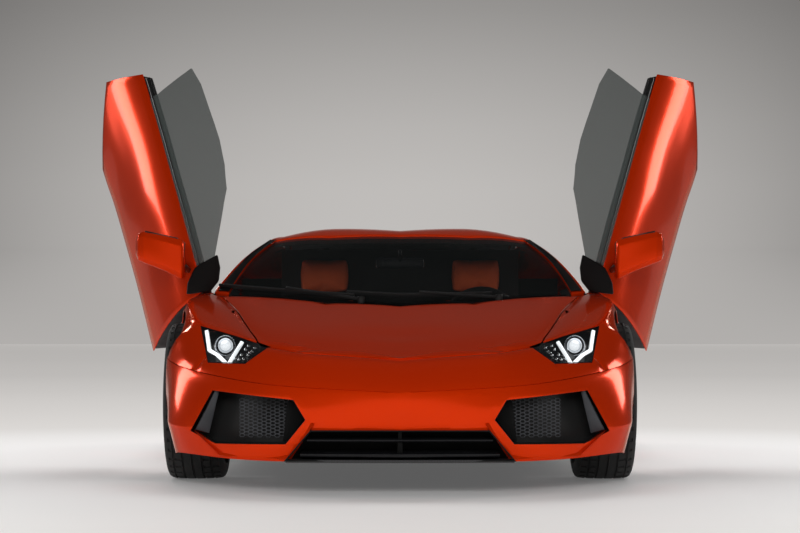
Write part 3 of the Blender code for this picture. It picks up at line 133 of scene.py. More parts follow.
class Graph:
    """The node tree of one material."""

    def __init__(self, name: str) -> None:
        """Makes an empty material called name."""
        self.material = bpy.data.materials.new(name)
        self.material.use_nodes = True
        self.tree = self.material.node_tree
        self.shader = self.tree.nodes["Principled BSDF"]

    def node(self, kind: str, settings: dict | None = None, inputs: dict | None = None,
             out: object = 0) -> Sock:
        """Adds a node.

        Args:
            kind: the node's type.
            settings: its properties; "stops" holds a colour ramp's places and colours.
            inputs: values or links by socket name or number.
            out: which output is wanted.

        Returns:
            The wanted output.
        """
        made = self.tree.nodes.new(kind)
        for key, value in (settings or {}).items():
            if key == "stops":
                ramp = made.color_ramp
                while len(ramp.elements) < len(value):
                    ramp.elements.new(0.5)
                for element, (place, colour) in zip(ramp.elements, value):
                    element.position, element.color = place, colour
            else:
                setattr(made, key, value)
        for key, value in (inputs or {}).items():
            self.feed(made.inputs[key], value)
        return Sock(self, made.outputs[out])

    def feed(self, target: object, value: object) -> None:
        """Links or sets one input socket."""
        if isinstance(value, Sock):
            self.tree.links.new(value.link, target)
        elif isinstance(value, tuple) and len(value) == 3 and len(target.default_value) == 4:
            target.default_value = (*value, 1)
        else:
            target.default_value = value

    def place(self, scale: float | Vector = 1.0) -> Sock:
        """Object coordinates, scaled."""
        start = self.node("ShaderNodeTexCoord", out="Object")
        size = (scale,) * 3 if isinstance(scale, (int, float)) else tuple(scale)
        return self.node("ShaderNodeMapping", None, {"Vector": start, "Scale": size})

    def noise(self, scale: float, detail: float = 2.0, stretch: Sequence[float] = (1, 1, 1)) -> Sock:
        """Noise on Object coordinates."""
        where = self.place(Vector(stretch))
        return self.node("ShaderNodeTexNoise", None, {"Vector": where, "Scale": scale, "Detail": detail})

    def mix(self, share: object, low: object, high: object) -> Sock:
        """Mixes two colours."""
        return self.node(
            "ShaderNodeMix", {"data_type": "RGBA"}, {"Factor": share, 6: low, 7: high}, 2)

    def ramp(self, share: Sock, low: float, high: float) -> Sock:
        """Stretches low..high of a value to 0..1."""
        return self.node("ShaderNodeMapRange", None, {"Value": share, "From Min": low, "From Max": high})

    def bump(self, height: Sock, strength: float, depth: float = 0.001) -> Sock:
        """A normal from a height."""
        return self.node("ShaderNodeBump", None, {"Height": height, "Strength": strength, "Distance": depth})

    def set(self, **values: object) -> "Graph":
        """Feeds the Principled shader's inputs, named with underscores for spaces."""
        for key, value in values.items():
            self.feed(self.shader.inputs[key.replace("_", " ")], value)
        return self


@dataclass(frozen=True)
class Finish:
    """A finish's name and main numbers; its subclasses add the nodes."""

    name: str
    colour: Triple
    roughness: float = 0.4
    metallic: float = 0.0

    def dress(self, graph: Graph) -> None:
        """Feeds the plain colour."""
        graph.set(Base_Color=self.colour, Roughness=self.roughness, Metallic=self.metallic)

    def material(self) -> bpy.types.Material:
        """The finish's material, made once."""
        found = bpy.data.materials.get(self.name)
        if found:
            return found
        graph = Graph(self.name)
        self.dress(graph)
        return graph.material


@dataclass(frozen=True)
class Lacquer(Finish):
    """Pearl lacquer: flakes under a clear coat."""

    shade: Triple = (0.35, 0.02, 0.004)
    spark: Triple = (0.95, 0.16, 0.02)
    tint: Triple = (1.0, 0.55, 0.30)
    flake_scale: float = 900.0
    shade_share: float = 0.75
    spark_share: float = 0.12
    peel: float = 0.004
    unevenness: float = 0.05
    specular: float = 0.1
    coat: float = 0.22
    coat_roughness: float = 0.02
    coat_ior: float = 1.33

    def dress(self, graph: Graph) -> None:
        """Flakes tint the base, and the coat has a faint orange peel."""
        flake = graph.node(
            "ShaderNodeTexVoronoi", None, {"Vector": graph.place(), "Scale": self.flake_scale}, "Color")
        bright = graph.node("ShaderNodeSeparateColor", None, {0: flake})
        edge = graph.node("ShaderNodeLayerWeight", None, {"Blend": 0.35}, "Facing")
        base = graph.mix(edge * self.shade_share, self.colour, self.shade)
        lively = graph.mix(graph.ramp(bright, 0.9, 1.0) * self.spark_share, base, self.spark)
        rippled = graph.bump(graph.noise(40.0), self.peel)
        graph.set(
            Base_Color=lively,
            Roughness=graph.ramp(graph.noise(7.0), 0.0, 1.0) * self.unevenness + self.roughness,
            Metallic=self.metallic, Specular_IOR_Level=self.specular, Specular_Tint=self.tint,
            Coat_Weight=self.coat, Coat_Roughness=self.coat_roughness, Coat_IOR=self.coat_ior, Normal=rippled)


@dataclass(frozen=True)
class Moulded(Finish):
    """Moulded plastic with a fine grain."""

    grain: float = 420.0
    depth: float = 0.25

    def dress(self, graph: Graph) -> None:
        """Grain bump and patchy roughness."""
        patch = graph.noise(9.0, 3.0)
        tone = graph.mix(graph.ramp(patch, 0.3, 0.7), self.colour,
                         tuple(c * 1.5 + 0.002 for c in self.colour))
        graph.set(
            Base_Color=tone, Roughness=graph.ramp(patch, 0.2, 0.8) * 0.14 + self.roughness,
            Metallic=self.metallic, Specular_IOR_Level=0.3,
            Normal=graph.bump(graph.noise(self.grain, 3.0), self.depth, 0.0006))


@dataclass(frozen=True)
class Woven(Finish):
    """Carbon twill under a satin coat."""

    pitch: float = 190.0

    def dress(self, graph: Graph) -> None:
        """A diagonal weave in colour and roughness."""
        weave = graph.node(
            "ShaderNodeTexChecker", None,
            {"Vector": graph.place(Vector((1.0, 1.0, 0.6))), "Scale": self.pitch, "Color1": (1, 1, 1),
             "Color2": (0, 0, 0)})
        tone = graph.mix(graph.node("ShaderNodeSeparateColor", None, {0: weave}), self.colour,
                         tuple(c * 2.2 for c in self.colour))
        graph.set(Base_Color=tone, Roughness=self.roughness, Coat_Weight=0.6, Coat_Roughness=0.12,
                  Normal=graph.bump(graph.node("ShaderNodeSeparateColor", None, {0: weave}), 0.12, 0.0004))


@dataclass(frozen=True)
class Pane(Finish):
    """Tinted glass that shows what is behind it."""

    alpha: float = 0.35

    def dress(self, graph: Graph) -> None:
        """Clearer face on, and more reflective at grazing angles."""
        away = graph.node("ShaderNodeLayerWeight", None, {"Blend": 0.5}, "Facing")
        edge = (away * away) * (away * away)
        film = graph.ramp(graph.noise(3.0), 0.3, 0.7) * 0.01 + self.roughness
        graph.set(Base_Color=self.colour, Roughness=film, Metallic=0.0,
                  Alpha=edge * (1 - self.alpha) + self.alpha)


@dataclass(frozen=True)
class Worked(Finish):
    """Cast or machined metal with streaks and stains."""

    stretch: Triple = (1.0, 1.0, 1.0)

    def dress(self, graph: Graph) -> None:
        """Streaked roughness and a light bump."""
        streak = graph.noise(60.0, 4.0, self.stretch)
        stain = graph.noise(4.0, 3.0)
        tone = graph.mix(graph.ramp(stain, 0.35, 0.75) * 0.4, self.colour,
                         tuple(c * 0.6 for c in self.colour))
        graph.set(Base_Color=tone, Roughness=graph.ramp(streak, 0.2, 0.8) * 0.18 + self.roughness,
                  Metallic=self.metallic, Normal=graph.bump(streak, 0.08))


@dataclass(frozen=True)
class Rubber(Finish):
    """Tyre rubber with a dusty bloom."""

    def dress(self, graph: Graph) -> None:
        """Dull patches and fine moulding lines."""
        bloom = graph.noise(11.0, 4.0)
        tone = graph.mix(graph.ramp(bloom, 0.4, 0.8) * 0.5, self.colour, (0.05, 0.048, 0.045))
        graph.set(Base_Color=tone, Roughness=graph.ramp(bloom, 0.2, 0.8) * 0.15 + self.roughness,
                  Normal=graph.bump(graph.noise(350.0), 0.2, 0.0006))


@dataclass(frozen=True)
class Hide(Finish):
    """Leather with pores, creases and a soft sheen."""

    def dress(self, graph: Graph) -> None:
        """Pebbled grain with darker pores."""
        cells = graph.node("ShaderNodeTexVoronoi", {"feature": "DISTANCE_TO_EDGE"},
                           {"Vector": graph.place(), "Scale": 330.0})
        pores = graph.ramp(cells, 0.0, 0.22)
        tone = graph.mix(graph.noise(14.0, 3.0), self.colour, tuple(c * 0.72 for c in self.colour))
        graph.set(Base_Color=graph.mix(pores, tuple(c * 0.55 for c in self.colour), tone),
                  Roughness=graph.ramp(graph.noise(30.0), 0.2, 0.8) * 0.15 + self.roughness,
                  Normal=graph.bump(pores + graph.noise(90.0) * 0.4, 0.25, 0.0007))


@dataclass(frozen=True)
class Lit(Finish):
    """A lamp's light guide, or its lens."""

    strength: float = 1.0

    def dress(self, graph: Graph) -> None:
        """Even glow with a faint ripple."""
        ripple = graph.ramp(graph.noise(90.0), 0.2, 0.8)
        graph.set(Base_Color=self.colour, Roughness=self.roughness,
                  Emission_Color=graph.mix(ripple * 0.2, self.colour, (1.0, 1.0, 1.0)),
                  Emission_Strength=self.strength)


PAINT = Lacquer("orange_lacquer", (0.820, 0.038, 0.001), 0.13, 0.45)
BLACK = Moulded("black_trim", (0.006, 0.006, 0.007), 0.34)
MATT = Moulded("matt_black_liner", (0.003, 0.003, 0.003), 0.66)
GREY = Moulded("grey_trim", (0.040, 0.041, 0.045), 0.34)
PIANO = Moulded("gloss_black", (0.006, 0.006, 0.007), 0.10, 0.0, 60.0, 0.02)
CARBON = Woven("carbon_twill", (0.016, 0.016, 0.017), 0.34)
SCREEN = Pane("tinted_screen", (0.006, 0.008, 0.008), 0.02, 0.0, 0.12)
SIDE_GLASS = Pane("side_glass", (0.10, 0.115, 0.11), 0.02, 0.0, 0.62)
CLEAR = Pane("lamp_cover", (0.03, 0.032, 0.034), 0.02, 0.0, 0.04)
TYRE = Rubber("tyre_rubber", (0.016, 0.016, 0.016), 0.68)
RIM = Worked("satin_rim", (0.060, 0.060, 0.064), 0.26, 0.85)
STEEL = Worked("brushed_steel", (0.42, 0.42, 0.43), 0.30, 1.0, (1.0, 1.0, 14.0))
IRON = Worked("disc_face", (0.30, 0.30, 0.31), 0.30, 1.0, (14.0, 1.0, 1.0))
ALLOY = Worked("engine_alloy", (0.22, 0.22, 0.23), 0.42, 0.9)
ORANGE_HIDE = Hide("orange_leather", (0.66, 0.110, 0.030), 0.46)
BLACK_HIDE = Hide("black_leather", (0.012, 0.011, 0.011), 0.48)
BULB = Lit("white_light_guide", (0.86, 0.90, 0.93), 0.2, 0.0, 0.75)
CHROME = Worked("bright_reflector", (0.75, 0.77, 0.80), 0.08, 1.0)
RED_LIGHT = Lit("red_light_guide", (0.55, 0.008, 0.006), 0.2, 0.0, 0.5)
RED_LENS = Moulded("red_lens", (0.22, 0.006, 0.006), 0.10, 0.0, 80.0, 0.02)
MIRROR = Worked("mirror_glass", (0.80, 0.82, 0.84), 0.02, 1.0)


# Mesh tools
WELD = 1e-5
SEAM_WELD = 2e-5
LEAST_KEPT_SHARE = 0.5


def finished(name: str, bm: BMesh, finish: Finish, body: str = "chassis", *,
             replaces: Sequence[str] = (), angle: float = 32.0) -> bpy.types.Object:
    """Turns a bmesh into a finished piece that rides on a body.

    Args:
        name: the piece's name.
        bm: its mesh, freed here.
        finish: its finish.
        body: the CAD body it moves with.
        replaces: CAD nodes that it stands for.
        angle: edges sharper than this stay crisp.

    Returns:
        The new object.
    """
    mesh = bpy.data.meshes.new(name)
    bm.to_mesh(mesh)
    bm.free()
    mesh.materials.append(finish.material())
    mesh.shade_smooth()
    mesh.set_sharp_from_angle(angle=math.radians(angle))
    made = bpy.data.objects.new(name, mesh)
    bpy.context.scene.collection.objects.link(made)
    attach(made, body)
    if replaces:
        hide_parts(*replaces)
    LOG.info("%s: %d faces", name, len(mesh.polygons))
    return made


def flipped(bm: BMesh) -> BMesh:
    """Turns a left-hand mesh into the right-hand one."""
    bmesh.ops.scale(bm, vec=(-1, 1, 1), verts=bm.verts)
    bmesh.ops.reverse_faces(bm, faces=bm.faces)
    return bm


def sided(bm: BMesh, side: Side) -> BMesh:
    """The mesh for one side, from the left-hand one."""
    return flipped(bm) if side is Side.RIGHT else bm


def fitted(name: str, bm: BMesh, finish: Finish, side: Side, *, body: str = "chassis",
           slot: str = "",
           replaces: Sequence[str] = (), angle: float = 32.0) -> bpy.types.Object:
    """Finishes one side's piece from its left-hand mesh.

    Args:
        name: the piece's name without its side.
        bm: the left-hand mesh, freed here.
        finish: its finish.
        side: the side.
        body: the CAD body it moves with.
        slot: the record's material slot, if any; not used.
        replaces: CAD nodes that it stands for, without their side.
        angle: edges sharper than this stay crisp.

    Returns:
        The new object.
    """
    nodes = [f"{node}_{side.label}" for node in replaces]
    return finished(f"{name}_{side.label}", sided(bm, side), finish, body, replaces=nodes,
                    angle=angle)


def paired(bm: BMesh) -> BMesh:
    """The left-hand mesh together with its mirror image."""
    geometry = bm.verts[:] + bm.edges[:] + bm.faces[:]
    bmesh.ops.mirror(bm, geom=geometry, axis="X", merge_dist=WELD)
    bmesh.ops.remove_doubles(bm, verts=bm.verts, dist=WELD)
    return bm


def joined(*parts: BMesh) -> BMesh:
    """One bmesh from several, which are freed."""
    whole = parts[0]
    for part in parts[1:]:
        mesh = bpy.data.meshes.new("joining")
        part.to_mesh(mesh)
        part.free()
        whole.from_mesh(mesh)
        bpy.data.meshes.remove(mesh)
    return whole


def softened(bm: BMesh, width: float, segments: int = 2,
             angle: float = 25.0) -> BMesh:
    """Bevels the edges that are sharper than angle."""
    sharp = [e for e in bm.edges if len(e.link_faces) == 2 and e.calc_face_angle(0) > math.radians(angle)]
    bmesh.ops.bevel(
        bm, geom=sharp, offset=width, segments=segments, profile=0.5, affect="EDGES", material=-1,
        clamp_overlap=True)
    return bm


def block(low: Sequence[float], high: Sequence[float], bevel: float = 0.0,
          segments: int = 2) -> BMesh:
    """A box from corner to corner with rounded edges."""
    bm = bmesh.new()
    low, high = Vector(low), Vector(high)
    place = Matrix.Translation((low + high) / 2) @ Matrix.Diagonal((*(high - low), 1))
    bmesh.ops.create_cube(bm, size=1, matrix=place)
    return softened(bm, bevel, segments) if bevel else bm


def rod(start: Sequence[float], end: Sequence[float], radius: float, sides: int = 24,
        bevel: float = 0.0) -> BMesh:
    """A round bar between two points."""
    bm = bmesh.new()
    start, end = Vector(start), Vector(end)
    along = end - start
    turn = along.to_track_quat("Z", "Y").to_matrix().to_4x4()
    bmesh.ops.create_cone(
        bm, cap_ends=True, segments=sides, radius1=radius, radius2=radius, depth=along.length,
        matrix=Matrix.Translation((start + end) / 2) @ turn)
    return softened(bm, bevel) if bevel else bm


def swept(rings: Sequence[Sequence[Sequence[float]]], bevel: float = 0.0,
          segments: int = 2) -> BMesh:
    """Extrudes the first ring of points through the others, with both ends closed."""
    bm = bmesh.new()
    front = bm.faces.new([bm.verts.new(p) for p in rings[0]])
    for number, ring in enumerate(rings[1:]):
        made = bmesh.ops.extrude_face_region(bm, geom=[front])
        if number:
            bmesh.ops.delete(bm, geom=[front], context="FACES_ONLY")
        front = next(g for g in made["geom"] if isinstance(g, BMFace))
        for vert, point in zip(front.verts, ring):
            vert.co = point
    bmesh.ops.recalc_face_normals(bm, faces=bm.faces)
    return softened(bm, bevel, segments) if bevel else bm


def strip_bar(points: Sequence[Sequence[float]], width: float, height: float, up: Vector,
              bevel: float = 0.0) -> BMesh:
    """A flat bar along a path.

    Args:
        points: the path.
        width: its size across the path and up.
        height: its size along up.
        up: the direction of its height.
        bevel: the rounding of its edges.

    Returns:
        The bar's mesh.
    """
    path = [Vector(p) for p in points]
    rings = []
    for i, here in enumerate(path):
        before, after = path[max(0, i - 1)], path[min(len(path) - 1, i + 1)]
        along = (after - before).normalized()
        across = along.cross(up).normalized()
        lift = across.cross(along).normalized()
        bend = 1.0
        if 0 < i < len(path) - 1:
            bend = 1 / max(0.5, (here - before).normalized().dot(along))
        rings.append([here + across * (a * width * bend / 2) + lift * (b * height / 2)
                      for a, b in ((-1, -1), (1, -1), (1, 1), (-1, 1))])
    return swept(rings, bevel)


def prism(outline: Sequence[Point2], axis: int, low: float, high: float, bevel: float = 0.0,
          segments: int = 2) -> BMesh:
    """An outline in the plane across axis, extruded from low to high along it."""
    bm = bmesh.new()

    def placed(point: Point2) -> BMVert:
        """One corner, with the axis's own coordinate put in."""
        values = list(point)
        values.insert(axis, low)
        return bm.verts.new(values)

    near = bm.faces.new([placed(p) for p in outline])
    made = bmesh.ops.extrude_face_region(bm, geom=[near])
    push = Vector((0, 0, 0))
    push[axis] = high - low
    bmesh.ops.translate(bm, verts=[v for v in made["geom"] if isinstance(v, BMVert)], vec=push)
    bmesh.ops.recalc_face_normals(bm, faces=bm.faces)
    return softened(bm, bevel, segments) if bevel else bm


def turned(profile: Sequence[Point2], steps: int, matrix: Matrix, closed: bool = True) -> BMesh:
    """Spins a profile of (radius, x) about the X axis, then places it.

    Args:
        profile: the points of the section.
        steps: how many steps the full turn takes.
        matrix: where the turned piece goes.
        closed: whether the section is a closed loop.

    Returns:
        The turned mesh.
    """
    bm = bmesh.new()
    verts = [bm.verts.new((x, 0, radius)) for radius, x in profile]
    edges = [bm.edges.new(pair) for pair in zip(verts, verts[1:])]
    if closed:
        edges.append(bm.edges.new((verts[-1], verts[0])))
    bmesh.ops.spin(bm, geom=verts + edges, cent=(0, 0, 0), axis=(1, 0, 0), angle=2 * math.pi, steps=steps,
                   use_merge=True)
    bmesh.ops.remove_doubles(bm, verts=bm.verts, dist=WELD)
    bmesh.ops.recalc_face_normals(bm, faces=bm.faces)
    bm.transform(matrix)
    return bm


def carved(bm: BMesh, *steps: tuple[BMesh, str]) -> BMesh:
    """Applies Booleans to a closed mesh.

    Where the result loses most of the mesh, they run once more with its own overlaps allowed.

    Args:
        bm: the mesh, freed here.
        steps: pairs of a tool mesh, freed here, and the operation.

    Returns:
        The result.
    """
    def held(part: BMesh) -> bpy.types.Object:
        """A passing object that holds part."""
        mesh = bpy.data.meshes.new("passing")
        part.to_mesh(mesh)
        part.free()
        made = bpy.data.objects.new("passing", mesh)
        bpy.context.scene.collection.objects.link(made)
        return made

    whole = len(bm.faces)
    base = held(bm)
    tools = []
    for tool, operation in steps:
        other = held(tool)
        tools.append(other)
        step = base.modifiers.new("cut", "BOOLEAN")
        step.operation = operation
        step.object = other
    result = bmesh.new()
    result.from_object(base, bpy.context.evaluated_depsgraph_get())
    if len(result.faces) < LEAST_KEPT_SHARE * whole:
        for step in base.modifiers:
            step.use_self = True
        result.clear()
        result.from_object(base, bpy.context.evaluated_depsgraph_get())
    for made in (base, *tools):
        mesh = made.data
        bpy.data.objects.remove(made)
        bpy.data.meshes.remove(mesh)
    bmesh.ops.remove_doubles(result, verts=result.verts, dist=SEAM_WELD)
    bmesh.ops.dissolve_degenerate(result, edges=result.edges, dist=SEAM_WELD)
    return result


# The styled skin
@dataclass(frozen=True)
class Car:
    """The whole car's main sizes."""

    half_width: float = 1.015
    height: float = 1.136
    wheelbase: float = 2.700
    front_axle_y: float = -1.300
    rear_axle_y: float = 1.400
    front_radius: float = 0.3305
    rear_radius: float = 0.3545
    front_wheel_x: float = 0.860
    rear_wheel_x: float = 0.8275
    arch_clearance: float = 0.052
    arch_inner_x: float = 0.70
    arch_overrun: float = 0.03
    hinge: Vector = Vector((0.845, -0.828, 0.762))
    hinge_axis: Vector = Vector((0.909, -0.137, -0.394)).normalized()
    door_open: float = 65.0

    def opened(self) -> Matrix:
        """The turn that raises the left door from shut."""
        turn = Matrix.Rotation(math.radians(self.door_open), 4, self.hinge_axis)
        return Matrix.Translation(self.hinge) @ turn @ Matrix.Translation(-self.hinge)


CAR = Car()
# Body lines, one row a station: place along the car, half width and height as shares of the main sizes
LINE_SHARES: dict[str, list[Triple]] = {
    "hem": [
        (-0.381, 0.000, 0.110), (-0.374, 0.325, 0.110), (-0.333, 0.611, 0.114), (-0.241, 0.847, 0.125),
        (-0.150, 0.893, 0.110), (0.000, 0.945, 0.115), (0.137, 0.956, 0.123), (0.193, 0.951, 0.114),
        (0.315, 0.946, 0.114), (0.419, 0.946, 0.114), (0.510, 0.951, 0.114), (0.590, 0.961, 0.119),
        (0.740, 0.970, 0.123), (1.000, 0.975, 0.132), (1.167, 0.970, 0.158), (1.290, 0.887, 0.194),
        (1.344, 0.443, 0.211), (1.352, 0.000, 0.211)],
    "sill": [
        (-0.393, 0.000, 0.205), (-0.385, 0.355, 0.220), (-0.341, 0.611, 0.211), (-0.241, 0.877, 0.220),
        (-0.150, 0.925, 0.246), (0.000, 0.980, 0.264), (0.137, 0.970, 0.235), (0.193, 0.961, 0.213),
        (0.315, 0.951, 0.205), (0.419, 0.951, 0.203), (0.500, 0.956, 0.206), (0.580, 0.970, 0.214),
        (0.740, 0.985, 0.264), (1.000, 0.995, 0.282), (1.167, 0.990, 0.290), (1.304, 0.916, 0.299),
        (1.356, 0.453, 0.317), (1.363, 0.000, 0.317)],
    "crease": [
        (-0.404, 0.000, 0.343), (-0.381, 0.384, 0.361), (-0.333, 0.591, 0.379), (-0.230, 0.818, 0.414),
        (-0.133, 0.935, 0.449), (0.000, 0.980, 0.493), (0.137, 0.961, 0.493), (0.189, 0.951, 0.493),
        (0.315, 0.941, 0.493), (0.419, 0.946, 0.502), (0.545, 0.951, 0.511), (0.680, 0.972, 0.528),
        (0.790, 0.985, 0.546), (1.000, 0.997, 0.581), (1.167, 0.985, 0.581), (1.311, 0.916, 0.581),
        (1.363, 0.453, 0.563), (1.367, 0.000, 0.563)],
    "shoulder": [
        (-0.333, 0.000, 0.451), (-0.315, 0.365, 0.471), (-0.270, 0.522, 0.493), (-0.204, 0.670, 0.532),
        (-0.130, 0.803, 0.580), (0.007, 0.872, 0.660), (0.130, 0.872, 0.691), (0.185, 0.867, 0.704),
        (0.315, 0.872, 0.726), (0.419, 0.877, 0.739), (0.520, 0.882, 0.753), (0.620, 0.892, 0.768),
        (0.780, 0.911, 0.792), (1.000, 0.916, 0.805), (1.167, 0.887, 0.792), (1.300, 0.788, 0.766),
        (1.344, 0.414, 0.757), (1.356, 0.000, 0.757)],
    "rail": [
        (-0.333, 0.000, 0.451), (-0.315, 0.365, 0.471), (-0.270, 0.522, 0.493), (-0.204, 0.575, 0.530),
        (-0.119, 0.625, 0.573), (0.007, 0.690, 0.630), (0.130, 0.773, 0.682), (0.185, 0.823, 0.704),
        (0.307, 0.729, 0.841), (0.419, 0.626, 0.933), (0.526, 0.591, 0.960), (0.630, 0.587, 0.952),
        (0.780, 0.591, 0.909), (1.000, 0.611, 0.832), (1.167, 0.631, 0.797), (1.299, 0.650, 0.767)],
    "rib": [
        (-0.333, 0.000, 0.451), (-0.315, 0.365, 0.471), (-0.259, 0.360, 0.506), (-0.204, 0.355, 0.537),
        (-0.126, 0.345, 0.574), (-0.030, 0.330, 0.616), (0.056, 0.315, 0.653), (0.098, 0.305, 0.673),
        (0.262, 0.380, 0.824), (0.415, 0.325, 0.951), (0.526, 0.315, 1.000), (0.640, 0.315, 0.982),
        (0.796, 0.325, 0.911), (1.000, 0.325, 0.845), (1.167, 0.325, 0.805), (1.298, 0.335, 0.769)],
    "spine": [
        (-0.333, 0.000, 0.451), (-0.296, 0.000, 0.475), (-0.241, 0.000, 0.506), (-0.196, 0.000, 0.528),
        (-0.130, 0.000, 0.563), (-0.044, 0.000, 0.603), (0.037, 0.000, 0.641), (0.085, 0.000, 0.662),
        (0.252, 0.000, 0.817), (0.407, 0.000, 0.955), (0.526, 0.000, 0.990), (0.640, 0.000, 0.974),
        (0.796, 0.000, 0.907), (1.000, 0.000, 0.841), (1.167, 0.000, 0.801), (1.296, 0.000, 0.770)],
}
SCREEN_EDGE_SHARE = 0.13
STRIPS = [
    ("hem", "sill", 0.000), ("sill", "crease", 0.008), ("crease", "shoulder", 0.014),
    ("shoulder", "rail", 0.006),
    ("rail", "screen", 0.002), ("screen", "rib", 0.008), ("rib", "spine", 0.004), ("rail", "rib", 0.009),
    ("shoulder", "spine", 0.000)]
HEM, SIDE, FLANK, WINDOW, PILLAR, OUTER_TOP, INNER_TOP, BONNET_SIDE, TAIL_TOP = range(len(STRIPS))
TOP_LINES = ("shoulder", "rail", "rib", "spine")
LAST_STATION = 17


@dataclass
class Skin:
    """The car's outer surface, from its lines."""

    steps: int = 8
    rows: int = 5
    least_crease: float = 2.5
    arch_stations: float = 1.4
    shoulder_flare: float = 0.020
    shoulder_station: float = 4.9
    flank_bulge_share: float = 0.044
    flank_station: float = 5.1

    def near(self, u: float, station: float) -> float:
        """One at a station of the front arch, and less on both sides of it."""
        return max(0.0, 1 - abs(u - station) / self.arch_stations)

    def line(self, name: str, u: float) -> Vector:
        """A point on a body line at station u."""
        if name == "screen":
            return self.line("rail", u).lerp(self.line("rib", u), SCREEN_EDGE_SHARE)
        rows = LINE_SHARES[name]
        last = len(rows) - 1
        u = min(u, last)
        i = min(int(u), last - 1)
        t = u - i

        def placed(k: int) -> Vector:
            """One station's point in metres."""
            along, across, up = rows[max(0, min(last, k))]
            return Vector((across * CAR.half_width, CAR.front_axle_y + along * CAR.wheelbase,
                           up * CAR.height))

        before, start, end, after = (placed(k) for k in (i - 1, i, i + 1, i + 2))
        if i < 2 and name in TOP_LINES:
            return start.lerp(end, t)
        if i == 0:
            before = start * 2 - end
        if i == last - 1:
            after = end * 2 - start
        spot = 0.5 * (
            2 * start + (end - before) * t + (2 * before - 5 * start + 4 * end - after) * t ** 2
            + (3 * start - before - 3 * end + after) * t ** 3)
        if name == "shoulder":
            spot.x += self.shoulder_flare * self.near(u, self.shoulder_station)
        return spot

    def at(self, strip: int, share: float, u: float) -> Vector:
        """A point of a strip, share of the way up it at station u."""
        low_line, high_line, crown_share = STRIPS[strip]
        bulge = self.flank_bulge_share * self.near(u, self.flank_station) if strip == FLANK else 0.0
        crown = (crown_share + bulge) * CAR.half_width
        low, high = self.line(low_line, u), self.line(high_line, u)
        flat = low.lerp(high, share)
        if share in (0.0, 1.0) or (high - low).length < crown * 8:
            return flat
        ahead = self.line(low_line, min(u + 0.05, LAST_STATION)) - self.line(low_line, max(u - 0.05, 0))
        out = (high - low).cross(ahead)
        if out.length < 1e-9:
            return flat
        raised = flat - out.normalized() * crown * 4 * share * (1 - share)
        if abs(flat.x) < 1e-9:
            raised.x = 0
        return raised

    def sheet(self, cells: Sequence[Cell], *, inset: float = 0.0015, sink: float = 0.0, centred: bool = False,
              crease: float = 0.006) -> BMesh:
        """An open sheet of the skin.

        Args:
            cells: (strip, first station, last station) of each part.
            inset: how far the rim stands back.
            sink: how far the sheet lies below the skin.
            centred: whether it goes on to the other side.
            crease: the radius worked into the body lines.

        Returns:
            The sheet, its faces outward.
        """
        bm = bmesh.new()
        marks = bm.verts.layers.int.new("line")
        for strip, start, end in cells:
            along = max(2, round((end - start) * self.steps))
            made = bmesh.ops.create_grid(bm, x_segments=along, y_segments=self.rows, size=0.5)
            names = list(LINE_SHARES) + ["screen"]
            for vert in made["verts"]:
                share, u = round(vert.co.y + 0.5, 6), start + (vert.co.x + 0.5) * (end - start)
                if share in (0.0, 1.0):
                    vert[marks] = names.index(STRIPS[strip][int(share)]) + 1
                vert.co = self.at(strip, share, round(u, 6))
        bmesh.ops.remove_doubles(bm, verts=bm.verts, dist=SEAM_WELD)
        bmesh.ops.dissolve_degenerate(bm, edges=bm.edges, dist=WELD)
        facing_out(bm)
        self.draw_in(bm, inset, centred)
        if sink:
            for vert, push in [(v, v.normal * sink) for v in bm.verts]:
                if centred and abs(vert.co.x) < 1e-6:
                    push.x = 0
                vert.co -= push
        if crease:
            lines = [e for e in bm.edges
                     if len(e.link_faces) == 2 and e.verts[0][marks] == e.verts[1][marks] != 0
                     and e.calc_face_angle(0) > math.radians(self.least_crease) and e.calc_length() > crease
                     and all(f.calc_area() / e.calc_length() > crease * 2.6 for f in e.link_faces)]
            bmesh.ops.bevel(bm, geom=lines, offset=crease, segments=3, profile=0.5, affect="EDGES",
                            material=-1)
        return facing_out(paired(bm)) if centred else bm

    def draw_in(self, bm: BMesh, inset: float, centred: bool) -> None:
        """Moves the rim inwards along the sheet."""
        def on_plane(edge: BMEdge) -> bool:
            """Whether an edge lies on the car's middle plane."""
            return centred and all(abs(v.co.x) < 1e-6 for v in edge.verts)

        moves = {}
        for vert in bm.verts:
            pulls = []
            for edge in vert.link_edges:
                if not edge.is_boundary or on_plane(edge):
                    continue
                face = edge.link_faces[0]
                across = (edge.verts[1].co - edge.verts[0].co).cross(face.normal).normalized()
                if across.dot(face.calc_center_median() - edge.verts[0].co) < 0:
                    across.negate()
                pulls.append(across)
            if pulls:
                total = sum(pulls, Vector()) * inset
                move = total / max(0.4, 1 + pulls[0].dot(pulls[1])) if len(pulls) > 1 else total
                if centred and abs(vert.co.x) < 1e-6:
                    move.x = 0
                moves[vert] = move
        for vert, move in moves.items():
            vert.co += move

    def panel(self, cells: Sequence[Cell], wall: float = 0.004, **options: object) -> BMesh:
        """A closed panel: a sheet with a wall behind it."""
        return thickened(self.sheet(cells, **options), wall)


def thickened(bm: BMesh, wall: float) -> BMesh:
    """Gives an open sheet a wall on its inner side."""
    bm.normal_update()
    inner = [(vert, vert.co - vert.normal * wall) for vert in bm.verts]
    bmesh.ops.extrude_face_region(bm, geom=bm.faces[:])
    for vert, place in inner:
        vert.co = place
    bmesh.ops.recalc_face_normals(bm, faces=bm.faces)
    return bm


